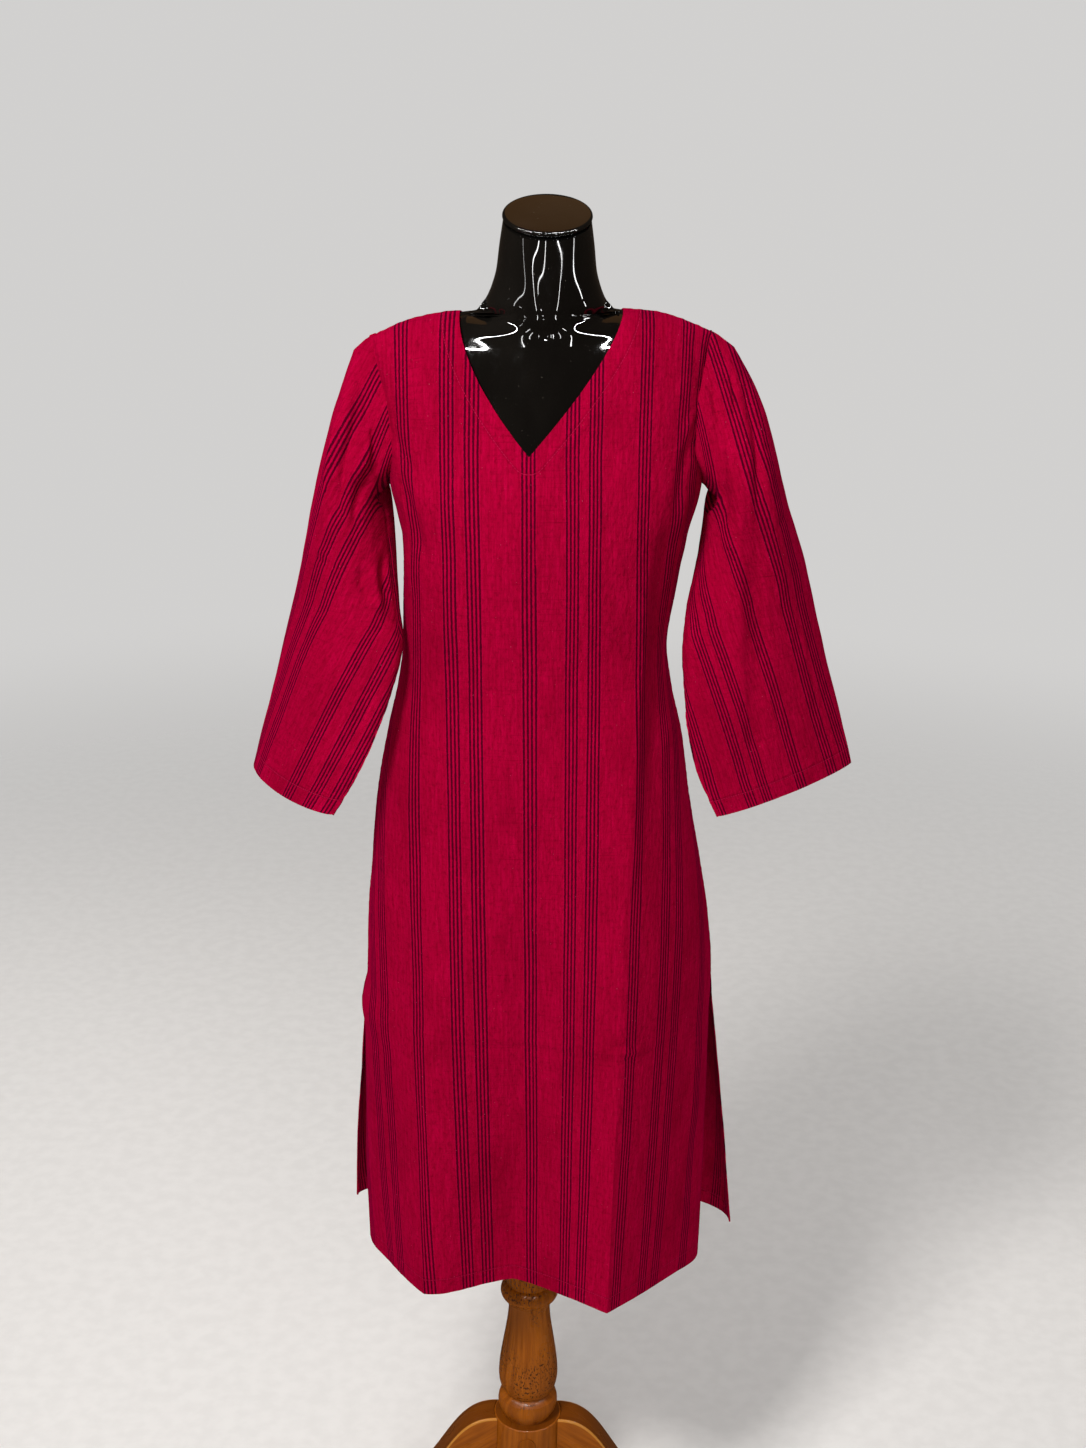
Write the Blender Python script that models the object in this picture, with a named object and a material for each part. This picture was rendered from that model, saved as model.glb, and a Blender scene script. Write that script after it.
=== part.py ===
"""A knee-length kurta tunic on a limbless dress form with a turned wooden stand.

Metres, +Z up. The front faces -Y and the wearer's right is at -X. The stand's axis is
the middle of the work; at the end everything hangs on one empty that puts the origin on
the floor, under the middle of the whole object's box.

The garment is drawn as one continuous surface whose pieces share their seam points. Each
piece is then cut out along its seams, drawn back by half a seam gap and given the
cloth's thickness.
"""

from collections import namedtuple
from math import asin, copysign, cos, pi, radians, sin, sqrt, tan

import bmesh
import bpy
from mathutils import Vector
from mathutils.bvhtree import BVHTree

for old in list(bpy.data.objects):
    bpy.data.objects.remove(old, do_unlink=True)

# Cloth
CLOTH = 0.0015
SEAM_GAP = 0.0003
SEAM_SPARE = 0.00002
FIT_GAP = 0.0009
PRESS_REACH = 0.03
PRESS_ROUNDS = 3
FACING_SHARE = 0.7

# Heights above the floor
HUB_TOP = 0.182
STEM_TOP = 0.8147
NECK_Z = 1.575

# Drops below the point where the shoulder seams meet the neck line
V_DROP = 0.1365
BACK_NECK_DROP = 0.030
UNDERARM_DROP = 0.185
SLIT_DROP_LEFT = 0.802
SLIT_DROP_RIGHT = 0.764
HEM_DROP = 1.120

# Shoulders
NECK_LEFT = 0.0895
NECK_RIGHT = 0.0805
SHOULDER_FALL = 0.0255
SHOULDER_SPAN = 0.0950
SHOULDER_ROUND = 1.9
SHOULDER_TILT = 0.030
TILT_END = 0.500
V_TIP_X = -0.0147
V_BEND_LEFT = 1.6
V_BEND_RIGHT = 1.3
SQUARENESS = 2.3
FOLD_GROWTH = 1.2
CREASE_POWER = 1.25
SIDE_FADE = 6

# Half widths and depths of the body, from the shoulder line down to the hem.
# The last column is how much of the half width lies inside the armhole.
BodyRow = namedtuple("BodyRow", "drop left right front back inside_armhole")
BODY = [
    BodyRow(0.000, 0.187, 0.177, 0.000, 0.000, 0.985),
    BodyRow(0.006, 0.186, 0.177, 0.026, 0.030, 0.975),
    BodyRow(0.022, 0.185, 0.176, 0.050, 0.057, 0.960),
    BodyRow(0.050, 0.182, 0.175, 0.066, 0.071, 0.940),
    BodyRow(0.090, 0.177, 0.173, 0.080, 0.081, 0.920),
    BodyRow(0.141, 0.170, 0.171, 0.095, 0.088, 0.935),
    BodyRow(0.185, 0.163, 0.169, 0.108, 0.092, 1.000),
    BodyRow(0.240, 0.149, 0.155, 0.114, 0.091, 1.000),
    BodyRow(0.300, 0.150, 0.146, 0.112, 0.088, 1.000),
    BodyRow(0.360, 0.151, 0.139, 0.108, 0.087, 1.000),
    BodyRow(0.410, 0.157, 0.146, 0.109, 0.091, 1.000),
    BodyRow(0.456, 0.167, 0.158, 0.112, 0.097, 1.000),
    BodyRow(0.537, 0.181, 0.171, 0.117, 0.107, 1.000),
    BodyRow(0.620, 0.188, 0.187, 0.121, 0.114, 1.000),
    BodyRow(0.680, 0.193, 0.198, 0.123, 0.118, 1.000),
    BodyRow(0.764, 0.196, 0.206, 0.122, 0.118, 1.000),
    BodyRow(0.804, 0.203, 0.205, 0.121, 0.118, 1.000),
    BodyRow(0.840, 0.199, 0.205, 0.120, 0.117, 1.000),
    BodyRow(0.900, 0.199, 0.205, 0.117, 0.115, 1.000),
    BodyRow(1.000, 0.200, 0.205, 0.112, 0.112, 1.000),
    BodyRow(1.120, 0.197, 0.203, 0.105, 0.108, 1.000),
]

# Where the slit edges stand at the hem, beyond the body's side line
SlitCorner = namedtuple("SlitCorner", "out forward")
SLIT_CORNERS = {
    ("front", "left"): SlitCorner(0.000, 0.006),
    ("front", "right"): SlitCorner(0.000, 0.042),
    ("back", "left"): SlitCorner(0.024, 0.065),
    ("back", "right"): SlitCorner(0.045, 0.020),
}

# Hanging folds: the ridge runs from top_x at its start to hem_x, and rises by depth.
# A negative depth is a trough. sharp is 0 for a soft roll and 1 for a pressed crease.
Fold = namedtuple("Fold", "face top_x hem_x start depth inner_reach outer_reach sharp")
FOLDS = [
    Fold("front", 0.104, 0.090, 0.30, 0.068, 0.110, 0.115, 1.0),
    Fold("front", -0.112, -0.123, 0.58, 0.052, 0.105, 0.075, 0.6),
    Fold("back", 0.095, 0.105, 0.50, 0.045, 0.080, 0.080, 0.3),
    Fold("back", -0.020, -0.030, 0.42, -0.022, 0.070, 0.070, 0.0),
    Fold("back", -0.110, -0.125, 0.55, 0.038, 0.075, 0.070, 0.3),
]
CREASE_COLUMN = 6
LEFT_FOLD_COLUMN = 7
BACK_FOLD_COLUMN = 6

# Sleeves: where the folded tube's outer and inner edge run, and half its fullness.
SleeveRow = namedtuple("SleeveRow", "outer_x outer_drop outer_fwd inner_x inner_drop inner_fwd half")
LEFT_SLEEVE = [
    SleeveRow(0.201, 0.038, 0.000, 0.168, 0.193, 0.002, 0.046),
    SleeveRow(0.211, 0.076, 0.000, 0.169, 0.203, 0.008, 0.051),
    SleeveRow(0.222, 0.122, 0.000, 0.166, 0.225, 0.018, 0.051),
    SleeveRow(0.243, 0.204, -0.004, 0.160, 0.270, 0.034, 0.047),
    SleeveRow(0.259, 0.277, -0.008, 0.154, 0.318, 0.050, 0.042),
    SleeveRow(0.271, 0.323, -0.010, 0.148, 0.352, 0.064, 0.038),
    SleeveRow(0.288, 0.388, -0.010, 0.163, 0.412, 0.080, 0.033),
    SleeveRow(0.307, 0.460, -0.008, 0.194, 0.487, 0.094, 0.026),
    SleeveRow(0.321, 0.514, -0.006, 0.222, 0.532, 0.100, 0.021),
]
RIGHT_SLEEVE = [
    SleeveRow(0.200, 0.025, 0.000, 0.174, 0.193, 0.002, 0.046),
    SleeveRow(0.2235, 0.077, 0.000, 0.176, 0.203, 0.006, 0.051),
    SleeveRow(0.239, 0.123, 0.000, 0.175, 0.222, 0.012, 0.051),
    SleeveRow(0.262, 0.200, -0.002, 0.168, 0.265, 0.022, 0.046),
    SleeveRow(0.286, 0.267, -0.004, 0.157, 0.318, 0.034, 0.038),
    SleeveRow(0.300, 0.317, -0.004, 0.153, 0.360, 0.044, 0.032),
    SleeveRow(0.321, 0.392, -0.002, 0.159, 0.425, 0.056, 0.026),
    SleeveRow(0.338, 0.448, 0.000, 0.172, 0.483, 0.066, 0.018),
    SleeveRow(0.352, 0.498, 0.002, 0.198, 0.538, 0.072, 0.012),
]
SLEEVE_BLEND = 0.30
BLEND_START = 0.35

# Dress form, from the neck's top to the flat cut at the hip: a round neck that sinks
# into a flatter body. Both are half sizes, and each section takes the larger of the two.
FormRow = namedtuple("FormRow", "drop neck_half neck_depth half front back slope tilt")
FORM = [
    FormRow(-0.0900, 0.0455, 0.0455, 0.0455, 0.000, 0.000, 0.0, 1.0),
    FormRow(-0.0640, 0.0492, 0.0475, 0.0492, 0.000, 0.000, 0.0, 0.8),
    FormRow(-0.0400, 0.0520, 0.0490, 0.0520, 0.000, 0.000, 0.0, 0.5),
    FormRow(-0.0220, 0.0570, 0.0505, 0.0570, 0.000, 0.000, 0.0, 0.3),
    FormRow(-0.0120, 0.0610, 0.0515, 0.0615, 0.000, 0.000, 0.0, 0.1),
    FormRow(-0.0055, 0.0625, 0.0525, 0.0665, 0.003, 0.003, 0.3, 0.0),
    FormRow(0.0018, 0.0620, 0.0530, 0.0740, 0.007, 0.007, 0.8, 0.0),
    FormRow(0.0028, 0.0615, 0.0540, 0.1000, 0.010, 0.010, 1.0, 0.0),
    FormRow(0.0040, 0.0615, 0.0540, 0.1300, 0.013, 0.014, 1.0, 0.0),
    FormRow(0.0120, 0.0605, 0.0525, 0.1480, 0.029, 0.032, 1.0, 0.0),
    FormRow(0.0250, 0.0590, 0.0490, 0.1530, 0.044, 0.046, 1.0, 0.0),
    FormRow(0.0500, 0.0550, 0.0450, 0.1550, 0.059, 0.061, 0.9, 0.0),
    FormRow(0.0900, 0.0400, 0.0400, 0.1510, 0.073, 0.072, 0.6, 0.0),
    FormRow(0.1365, 0.0300, 0.0250, 0.1460, 0.086, 0.080, 0.2, 0.0),
    FormRow(0.1850, 0.0300, 0.0000, 0.1420, 0.097, 0.083, 0.0, 0.0),
    FormRow(0.2400, 0.0300, 0.0000, 0.1340, 0.102, 0.082, 0.0, 0.0),
    FormRow(0.3000, 0.0300, 0.0000, 0.1260, 0.095, 0.078, 0.0, 0.0),
    FormRow(0.3600, 0.0300, 0.0000, 0.1210, 0.088, 0.075, 0.0, 0.0),
    FormRow(0.4300, 0.0300, 0.0000, 0.1320, 0.092, 0.083, 0.0, 0.0),
    FormRow(0.5200, 0.0300, 0.0000, 0.1500, 0.097, 0.095, 0.0, 0.0),
    FormRow(0.6200, 0.0300, 0.0000, 0.1600, 0.100, 0.103, 0.0, 0.0),
    FormRow(0.7000, 0.0300, 0.0000, 0.1580, 0.098, 0.101, 0.0, 0.0),
    FormRow(0.7600, 0.0300, 0.0000, 0.1500, 0.092, 0.095, 0.0, 0.0),
]
FORM_FINE_UNTIL = 0.15
FORM_SIDES = 36
FORM_MERGE = 5
NECK_TILT = radians(20)

SHARP_ANGLE = radians(40)

# Neck cap
CAP_RADIUS = 0.0465
CAP_THICK = 0.0075
CAP_EDGE = 0.0022
CAP_SIDES = 36

# Stand
StemRow = namedtuple("StemRow", "height radius")
POLE_RADIUS = 0.0304
BEAD_JOINT = 0.379
UPPER_BEAD_RADIUS = 0.0360
UPPER_BEAD_BOTTOM = 0.353
LOWER_BEAD_RADIUS = 0.0374
LOWER_BEAD_TOP = 0.217
VASE = [
    StemRow(0.3530, 0.0262),
    StemRow(0.3450, 0.0256),
    StemRow(0.3300, 0.0264),
    StemRow(0.3100, 0.0290),
    StemRow(0.2900, 0.0321),
    StemRow(0.2700, 0.0350),
    StemRow(0.2540, 0.0367),
    StemRow(0.2430, 0.0371),
    StemRow(0.2330, 0.0362),
    StemRow(0.2240, 0.0335),
    StemRow(0.2170, 0.0295),
]
STEM_SIDES = 28
BEAD_STEPS = 6
BEAD_POWER = 0.7
FOOT_RADIUS = 0.031
HUB_RADIUS = 0.0427
HUB_BOTTOM = 0.052
HUB_SIDES = 48
HUB_EDGE = 0.0018
PLUG_RADIUS = 0.0105
PLUG_DEPTH = 0.006
PLUG_PROUD = 0.0010
PLUG_HEIGHT = 0.160
PLUG_SIDES = 24
LEG_THICK = 0.040
LEG_STEPS = 10
LEG_ROOT_GAP = 0.0006
LEG_REACH = 0.245
LEG_TOE = 0.022
LEG_HEEL = 0.185
LEG_ROOT_BOTTOM = 0.066
LEG_CREST = 0.117
LEG_DIP = 0.100
LEG_ARCH = 0.085
LEG_ARCH_SHARE = 0.8
LEG_SOLE = 0.110
SIDE_LEG_TOP = HUB_TOP
CROSS_LEG_TOP = 0.140
LEG_EDGE = 0.0025

ARM_ROWS = 12
V_ROWS = 9
SKIRT_ROWS = 19
HALF_COLUMNS = 13
SLEEVE_RINGS = 14
ROW_SPREAD = 1.5

RGBA = namedtuple("RGBA", "r g b a")
COLORS = {
    "cloth": (RGBA(0.44, 0.005, 0.09, 1), 0.85),
    "form": (RGBA(0.006, 0.006, 0.006, 1), 0.12),
    "wood": (RGBA(0.30, 0.12, 0.025, 1), 0.35),
}


def material(kind, name):
    """A Principled material of its own for one sub-part."""
    color, rough = COLORS[kind]
    made = bpy.data.materials.new(name)
    made.use_nodes = True
    shader = made.node_tree.nodes["Principled BSDF"]
    shader.inputs["Base Color"].default_value = tuple(color)
    shader.inputs["Roughness"].default_value = rough
    shader.inputs["Metallic"].default_value = 0.0
    return made


def smoothstep(value):
    """0 below 0, 1 above 1, and a smooth rise between."""
    value = min(1.0, max(0.0, value))
    return value * value * (3 - 2 * value)


def row_at(table, key):
    """Read every column of a table at a value of its first column, smoothly."""
    keys = [row[0] for row in table]
    key = min(max(key, keys[0]), keys[-1])
    low = max(i for i in range(len(keys) - 1) if keys[i] <= key)
    span = keys[low + 1] - keys[low]
    part = (key - keys[low]) / span

    def slope(index, column):
        if index == 0 or index == len(keys) - 1:
            near = 0 if index == 0 else index - 1
            return (table[near + 1][column] - table[near][column]) / (keys[near + 1] - keys[near])
        before = (table[index][column] - table[index - 1][column]) / (keys[index] - keys[index - 1])
        after = (table[index + 1][column] - table[index][column]) / (keys[index + 1] - keys[index])
        if before * after <= 0:
            return 0.0
        return 2 * before * after / (before + after)

    values = [key]
    for column in range(1, len(table[0])):
        start, end = table[low][column], table[low + 1][column]
        start_slope, end_slope = slope(low, column) * span, slope(low + 1, column) * span
        cubic = 2 * part ** 3 - 3 * part ** 2 + 1
        values.append(
            cubic * start
            + (part ** 3 - 2 * part ** 2 + part) * start_slope
            + (1 - cubic) * end
            + (part ** 3 - part ** 2) * end_slope
        )
    return type(table[0])(*values)


def shoulder_fall(x):
    """How far the shoulder line has fallen at x: slowly at the neck, faster at its tip."""
    beyond = max(0.0, abs(x) - (NECK_RIGHT if x > 0 else NECK_LEFT))
    return SHOULDER_FALL * (beyond / SHOULDER_SPAN) ** SHOULDER_ROUND


def height(x, drop):
    """Height of the body's row at x: rows follow the shoulder slope, then level out."""
    slope = shoulder_fall(x) * (1 - smoothstep(drop / UNDERARM_DROP))
    tilt = SHOULDER_TILT * x * (1 - smoothstep(drop / TILT_END))
    return NECK_Z - drop - slope + tilt


def fold_rise(face, x, drop):
    """How far the hanging folds push the cloth out at one place."""
    rise = 0.0
    for fold in FOLDS:
        if fold.face != face or drop <= fold.start:
            continue
        down = (drop - fold.start) / (HEM_DROP - fold.start)
        ridge = fold.top_x + (fold.hem_x - fold.top_x) * down
        outward = (x - ridge) * (1 if fold.hem_x > 0 else -1)
        reach = fold.outer_reach if outward > 0 else fold.inner_reach
        away = min(1.0, abs(outward) / reach)
        soft = 0.5 + 0.5 * cos(pi * away)
        crisp = (1 - away) ** CREASE_POWER
        rise += fold.depth * down ** FOLD_GROWTH * (soft + (crisp - soft) * fold.sharp)
    return rise


def body_point(face, angle, drop):
    """A point of the body's cloth. The angle runs from 0 at the middle to 90 at the side."""
    row = row_at(BODY, drop)
    side = "right" if angle > 0 else "left"
    sign = 1 if angle > 0 else -1
    half = row.right if angle > 0 else row.left
    depth = row.front if face == "front" else row.back
    across = sin(abs(angle)) ** (2 / SQUARENESS)
    outward = max(0.0, cos(abs(angle))) ** (2 / SQUARENESS)
    slit_drop = SLIT_DROP_RIGHT if angle > 0 else SLIT_DROP_LEFT
    opened = max(0.0, (drop - slit_drop) / (HEM_DROP - slit_drop))
    corner = SLIT_CORNERS[face, side]
    edge = corner.forward * opened
    x = sign * (half * across + corner.out * opened * across ** 3)
    forward = edge + (depth - edge) * outward
    forward += fold_rise(face, x, drop) * (1 - across ** SIDE_FADE)
    return Vector((x, -forward if face == "front" else forward, height(x, drop)))


def angle_at(x, drop):
    """The angle at which a row passes x."""
    row = row_at(BODY, drop)
    half = row.right if x > 0 else row.left
    share = min(1.0, abs(x) / half)
    return (1 if x > 0 else -1) * asin(share ** (SQUARENESS / 2))


def armhole_x(side, drop):
    """Where a row ends at the armhole."""
    row = row_at(BODY, drop)
    return row.right * row.inside_armhole if side == "right" else -row.left * row.inside_armhole


def neck_x(face, side, drop):
    """Where a row ends at the neck line, or None below it."""
    depth = V_DROP if face == "front" else BACK_NECK_DROP
    if drop >= depth:
        return None
    down = drop / depth
    if face == "back":
        edge = sqrt(1 - down ** 2)
        return NECK_RIGHT * edge if side == "right" else -NECK_LEFT * edge
    if side == "right":
        return V_TIP_X + (NECK_RIGHT - V_TIP_X) * (1 - down ** V_BEND_RIGHT)
    return V_TIP_X + (-NECK_LEFT - V_TIP_X) * (1 - down ** V_BEND_LEFT)


def row_drops(face):
    """Drops of all rows: close together over the shoulder, even below."""
    neck = V_DROP if face == "front" else BACK_NECK_DROP
    shoulder = [V_DROP * (i / V_ROWS) ** ROW_SPREAD for i in range(V_ROWS + 1)]
    if face == "back":
        nearest = min(range(1, V_ROWS), key=lambda i: abs(shoulder[i] - neck))
        shoulder[nearest] = neck
    lower = ARM_ROWS - V_ROWS
    chest = [V_DROP + (UNDERARM_DROP - V_DROP) * i / lower for i in range(1, lower + 1)]
    skirt = [
        UNDERARM_DROP + (HEM_DROP - UNDERARM_DROP) * i / SKIRT_ROWS for i in range(1, SKIRT_ROWS + 1)
    ]
    return shoulder + chest + skirt


def panel_grid(face):
    """Rows of points of a body panel. Each half row runs from its inner end outward."""
    halves = {"left": [], "right": []}
    marks = {"left": LEFT_FOLD_COLUMN, "right": CREASE_COLUMN}
    if face == "back":
        marks = {"left": BACK_FOLD_COLUMN, "right": BACK_FOLD_COLUMN}
    for drop in row_drops(face):
        tip = angle_at(V_TIP_X, V_DROP) * (1 - smoothstep((drop - V_DROP) / UNDERARM_DROP))
        for side in halves:
            sign = 1 if side == "right" else -1
            inner_x = neck_x(face, side, drop)
            if inner_x is not None:
                inner = angle_at(inner_x, drop)
            else:
                inner = tip if face == "front" else 0.0
            outer = sign * pi / 2
            if drop < UNDERARM_DROP:
                outer = angle_at(armhole_x(side, drop), drop)
            fold = max(
                (f for f in FOLDS if f.face == face and f.hem_x * sign > 0 and f.depth > 0),
                key=lambda f: f.depth,
            )
            down = max(0.0, (drop - fold.start) / (HEM_DROP - fold.start))
            mark = marks[side]
            even = mark / HALF_COLUMNS
            fold_angle = angle_at(fold.top_x + (fold.hem_x - fold.top_x) * down, drop)
            at_fold = (fold_angle - inner) / (outer - inner)
            follow = smoothstep((drop - UNDERARM_DROP) / (fold.start - UNDERARM_DROP))
            share = even + (at_fold - even) * follow
            row = []
            for column in range(HALF_COLUMNS + 1):
                if column <= mark:
                    part = share * column / mark
                else:
                    part = share + (1 - share) * (column - mark) / (HALF_COLUMNS - mark)
                row.append(body_point(face, inner + (outer - inner) * part, drop))
            halves[side].append(row)
    return halves


class Surface:
    """The garment as one surface, with its faces sorted by piece."""

    def __init__(self):
        self.points = []
        self.index = {}
        self.faces = {}

    def add(self, point):
        """Number a point; the same place gives the same number."""
        key = tuple(round(value, 6) for value in point)
        if key not in self.index:
            self.index[key] = len(self.points)
            self.points.append(Vector(point))
        return self.index[key]

    def strip(self, piece, grid, flip):
        """Add the quads between neighbouring rows of a grid."""
        numbers = [[self.add(point) for point in row] for row in grid]
        faces = self.faces.setdefault(piece, [])
        for upper, lower in zip(numbers, numbers[1:]):
            for i in range(len(upper) - 1):
                corners = [upper[i], upper[i + 1], lower[i + 1], lower[i]]
                corners = [c for n, c in enumerate(corners) if c != corners[n - 1]]
                if flip:
                    corners.reverse()
                faces.append(corners)

    def normals(self):
        """Outward directions of all points, shared by the pieces that meet there."""
        sums = [Vector() for _ in self.points]
        for faces in self.faces.values():
            for face in faces:
                corners = [self.points[i] for i in face]
                count = len(face)
                for n, number in enumerate(face):
                    ahead = corners[(n + 1) % count] - corners[n]
                    behind = corners[n - 1] - corners[n]
                    sums[number] += ahead.cross(behind).normalized() * ahead.angle(behind, 0.0)
        return [total.normalized() for total in sums]


def armhole_loop(halves, side):
    """Points round an armhole: shoulder, down the front, underarm, up the back."""
    front = [row[-1] for row in halves["front"][side][: ARM_ROWS + 1]]
    back = [row[-1] for row in halves["back"][side][: ARM_ROWS + 1]]
    return front + back[-2:0:-1]


def sleeve_rings(side, loop):
    """Rings from the armhole to the cuff. The tube's form takes over below the cap."""
    table = LEFT_SLEEVE if side == "left" else RIGHT_SLEEVE
    sign = 1 if side == "right" else -1
    keyed = namedtuple("Keyed", "place " + " ".join(SleeveRow._fields))
    rows = [keyed((i + 1) / len(table), *row) for i, row in enumerate(table)]
    count = len(loop)
    rings = []
    for step in range(1, SLEEVE_RINGS + 1):
        place = 1 / len(table) + (1 - 1 / len(table)) * (step - 1) / (SLEEVE_RINGS - 1)
        row = row_at(rows, place)
        outer = Vector((sign * row.outer_x, -row.outer_fwd, NECK_Z - row.outer_drop))
        inner = Vector((sign * row.inner_x, -row.inner_fwd, NECK_Z - row.inner_drop))
        middle = (outer + inner) / 2
        across = (outer - inner) / 2
        front = Vector((0, 0, 1)).cross(Vector((across.x, across.y, 0))).normalized()
        front *= row.half if front.y < 0 else -row.half
        blend = smoothstep((place - 1 / len(table)) / SLEEVE_BLEND + BLEND_START)
        ring = []
        for i in range(count):
            turn = 2 * pi * i / count
            tube = middle + across * cos(turn) + front * sin(turn)
            cap = loop[i] + (middle - sum(loop, Vector()) / count)
            ring.append(cap.lerp(tube, blend))
        rings.append(ring)
    return rings


def garment_surface():
    """Draw the front, the back and both sleeves as one surface."""
    surface = Surface()
    halves = {face: panel_grid(face) for face in ("front", "back")}
    for face in halves:
        for side in halves[face]:
            flip = (face == "front") == (side == "right")
            surface.strip(face + "_panel", halves[face][side], flip)
    for side in ("left", "right"):
        loop = armhole_loop(halves, side)
        rings = [loop] + sleeve_rings(side, loop)
        closed = [ring + ring[:1] for ring in rings]
        surface.strip(side + "_sleeve", closed, side == "left")
    return surface


def cut_piece(surface, normals, piece):
    """Cut one piece out along its seams and give it the cloth's thickness."""
    faces = surface.faces[piece]
    owners = {}
    for name, group in surface.faces.items():
        for face in group:
            for number in face:
                owners.setdefault(number, set()).add(name)
    numbers = sorted({number for face in faces for number in face})
    local = {number: i for i, number in enumerate(numbers)}
    pull = {number: Vector() for number in numbers}
    for face in faces:
        centre = sum((surface.points[n] for n in face), Vector()) / len(face)
        for n in face:
            pull[n] += (centre - surface.points[n]).normalized()
    edges = {}
    for face in faces:
        for start, end in zip(face, face[1:] + face[:1]):
            edges.setdefault(frozenset((start, end)), []).append((start, end))
    rim = [uses[0] for uses in edges.values() if len(uses) == 1]
    along = {}
    for start, end in rim:
        step = (surface.points[end] - surface.points[start]).normalized()
        along[start] = along.get(start, Vector()) + step
        along[end] = along.get(end, Vector()) + step
    outer = []
    for number in numbers:
        point = surface.points[number].copy()
        if len(owners[number]) > 1:
            inward = pull[number]
            for axis in (normals[number], along[number].normalized()):
                inward = inward - axis * inward.dot(axis)
            point += inward.normalized() * (SEAM_GAP / 2 + SEAM_SPARE)
        outer.append(point)
    inner = [outer[i] - normals[number] * CLOTH for i, number in enumerate(numbers)]
    count = len(numbers)
    solid_faces = [[local[n] for n in face] for face in faces]
    solid_faces += [[local[n] + count for n in reversed(face)] for face in faces]
    for start, end in rim:
        a, b = local[start], local[end]
        solid_faces.append([b, a, a + count, b + count])
    mesh = bpy.data.meshes.new(piece)
    mesh.from_pydata(outer + inner, [], solid_faces)
    mesh.shade_smooth()
    mesh.materials.append(material("cloth", piece + "_cloth"))
    return add_object(piece, mesh)


def add_object(name, mesh):
    """Put a mesh into the scene as a sub-part."""
    made = bpy.data.objects.new(name, mesh)
    bpy.context.scene.collection.objects.link(made)
    return made


def ring_mesh(name, rings, kind):
    """A closed solid through rings of equal length, capped at both ends."""
    sides = len(rings[0])
    points = [point for ring in rings for point in ring]
    faces = []
    for r in range(len(rings) - 1):
        for i in range(sides):
            near = (i + 1) % sides
            faces.append([r * sides + i, r * sides + near, (r + 1) * sides + near, (r + 1) * sides + i])
    faces.append(list(range(sides))[::-1])
    last = (len(rings) - 1) * sides
    faces.append([last + i for i in range(sides)])
    return solid_mesh(name, points, faces, kind)


def solid_mesh(name, points, faces, kind):
    """A mesh from points and faces, with its faces turned outward."""
    mesh = bpy.data.meshes.new(name)
    mesh.from_pydata(points, [], faces)
    work = bmesh.new()
    work.from_mesh(mesh)
    bmesh.ops.recalc_face_normals(work, faces=work.faces)
    work.to_mesh(mesh)
    work.free()
    return finish_mesh(mesh, name, kind)


def finish_mesh(mesh, name, kind):
    """Smooth faces, sharp edges and the sub-part's own material."""
    mesh.shade_smooth()
    mesh.set_sharp_from_angle(angle=SHARP_ANGLE)
    mesh.materials.append(material(kind, name + "_" + kind))
    return mesh


def dress_form(surface, normals):
    """The torso and neck, pressed in where they would touch the cloth."""
    lining = [point - normal * CLOTH for point, normal in zip(surface.points, normals)]
    faces = [face for group in surface.faces.values() for face in group]
    tree = BVHTree.FromPolygons(lining, faces)
    drops = [row.drop for row in FORM]
    drops += [(low + high) / 2 for low, high in zip(drops, drops[1:]) if high < FORM_FINE_UNTIL]
    rings = []
    for drop in sorted(drops):
        row = row_at(FORM, drop)
        ring = []
        for i in range(FORM_SIDES):
            turn = 2 * pi * i / FORM_SIDES
            x = row.half * sin(turn)
            depth = row.front if cos(turn) > 0 else row.back
            forward = copysign(form_depth(row, abs(x), depth), cos(turn))
            z = NECK_Z - drop + (SHOULDER_TILT * x - shoulder_fall(x)) * row.slope
            z -= tan(NECK_TILT) * forward * row.tilt
            ring.append(press_in(Vector((x, -forward, z)), tree))
        rings.append(ring)
    return add_object("dress_form", ring_mesh("dress_form", rings, "form"))


def form_depth(row, x, depth):
    """Depth of a form section at x: the larger of neck and body, with a smooth change."""
    neck = row.neck_depth * sqrt(max(0.0, 1 - (x / row.neck_half) ** 2))
    body = depth * max(0.0, 1 - (x / row.half) ** SQUARENESS) ** (1 / SQUARENESS)
    return (neck ** FORM_MERGE + body ** FORM_MERGE) ** (1 / FORM_MERGE)


def press_in(point, tree):
    """Move a point of the form that reaches past the cloth's inside, or too near it."""
    for _ in range(PRESS_ROUNDS):
        place, normal, _, distance = tree.find_nearest(point)
        outside = (point - place).dot(normal)
        faces_it = abs(outside) > distance * FACING_SHARE
        if faces_it and outside > -FIT_GAP and distance < PRESS_REACH:
            point = place - normal * FIT_GAP
        elif distance < FIT_GAP:
            point = place + (point - place).normalized() * FIT_GAP
    return point


def neck_cap():
    """The round plate that closes the neck, tipped to the front."""
    mesh = bpy.data.meshes.new("neck_cap")
    work = bmesh.new()
    bmesh.ops.create_cone(
        work,
        cap_ends=True,
        segments=CAP_SIDES,
        radius1=CAP_RADIUS,
        radius2=CAP_RADIUS,
        depth=CAP_THICK,
    )
    work.to_mesh(mesh)
    work.free()
    made = add_object("neck_cap", finish_mesh(mesh, "neck_cap", "form"))
    seat = NECK_Z - FORM[0].drop
    made.location = (0, 0, seat + (CAP_THICK / 2 + SEAM_GAP) / cos(NECK_TILT))
    made.rotation_euler = (NECK_TILT, 0, 0)
    round_edges(made, CAP_EDGE, 2)
    return made


def round_edges(made, width, segments):
    """Bevel the sharp edges of a sub-part."""
    bevel = made.modifiers.new("rounded", "BEVEL")
    bevel.width = width
    bevel.segments = segments
    bevel.limit_method = "ANGLE"
    bevel.angle_limit = SHARP_ANGLE


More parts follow.
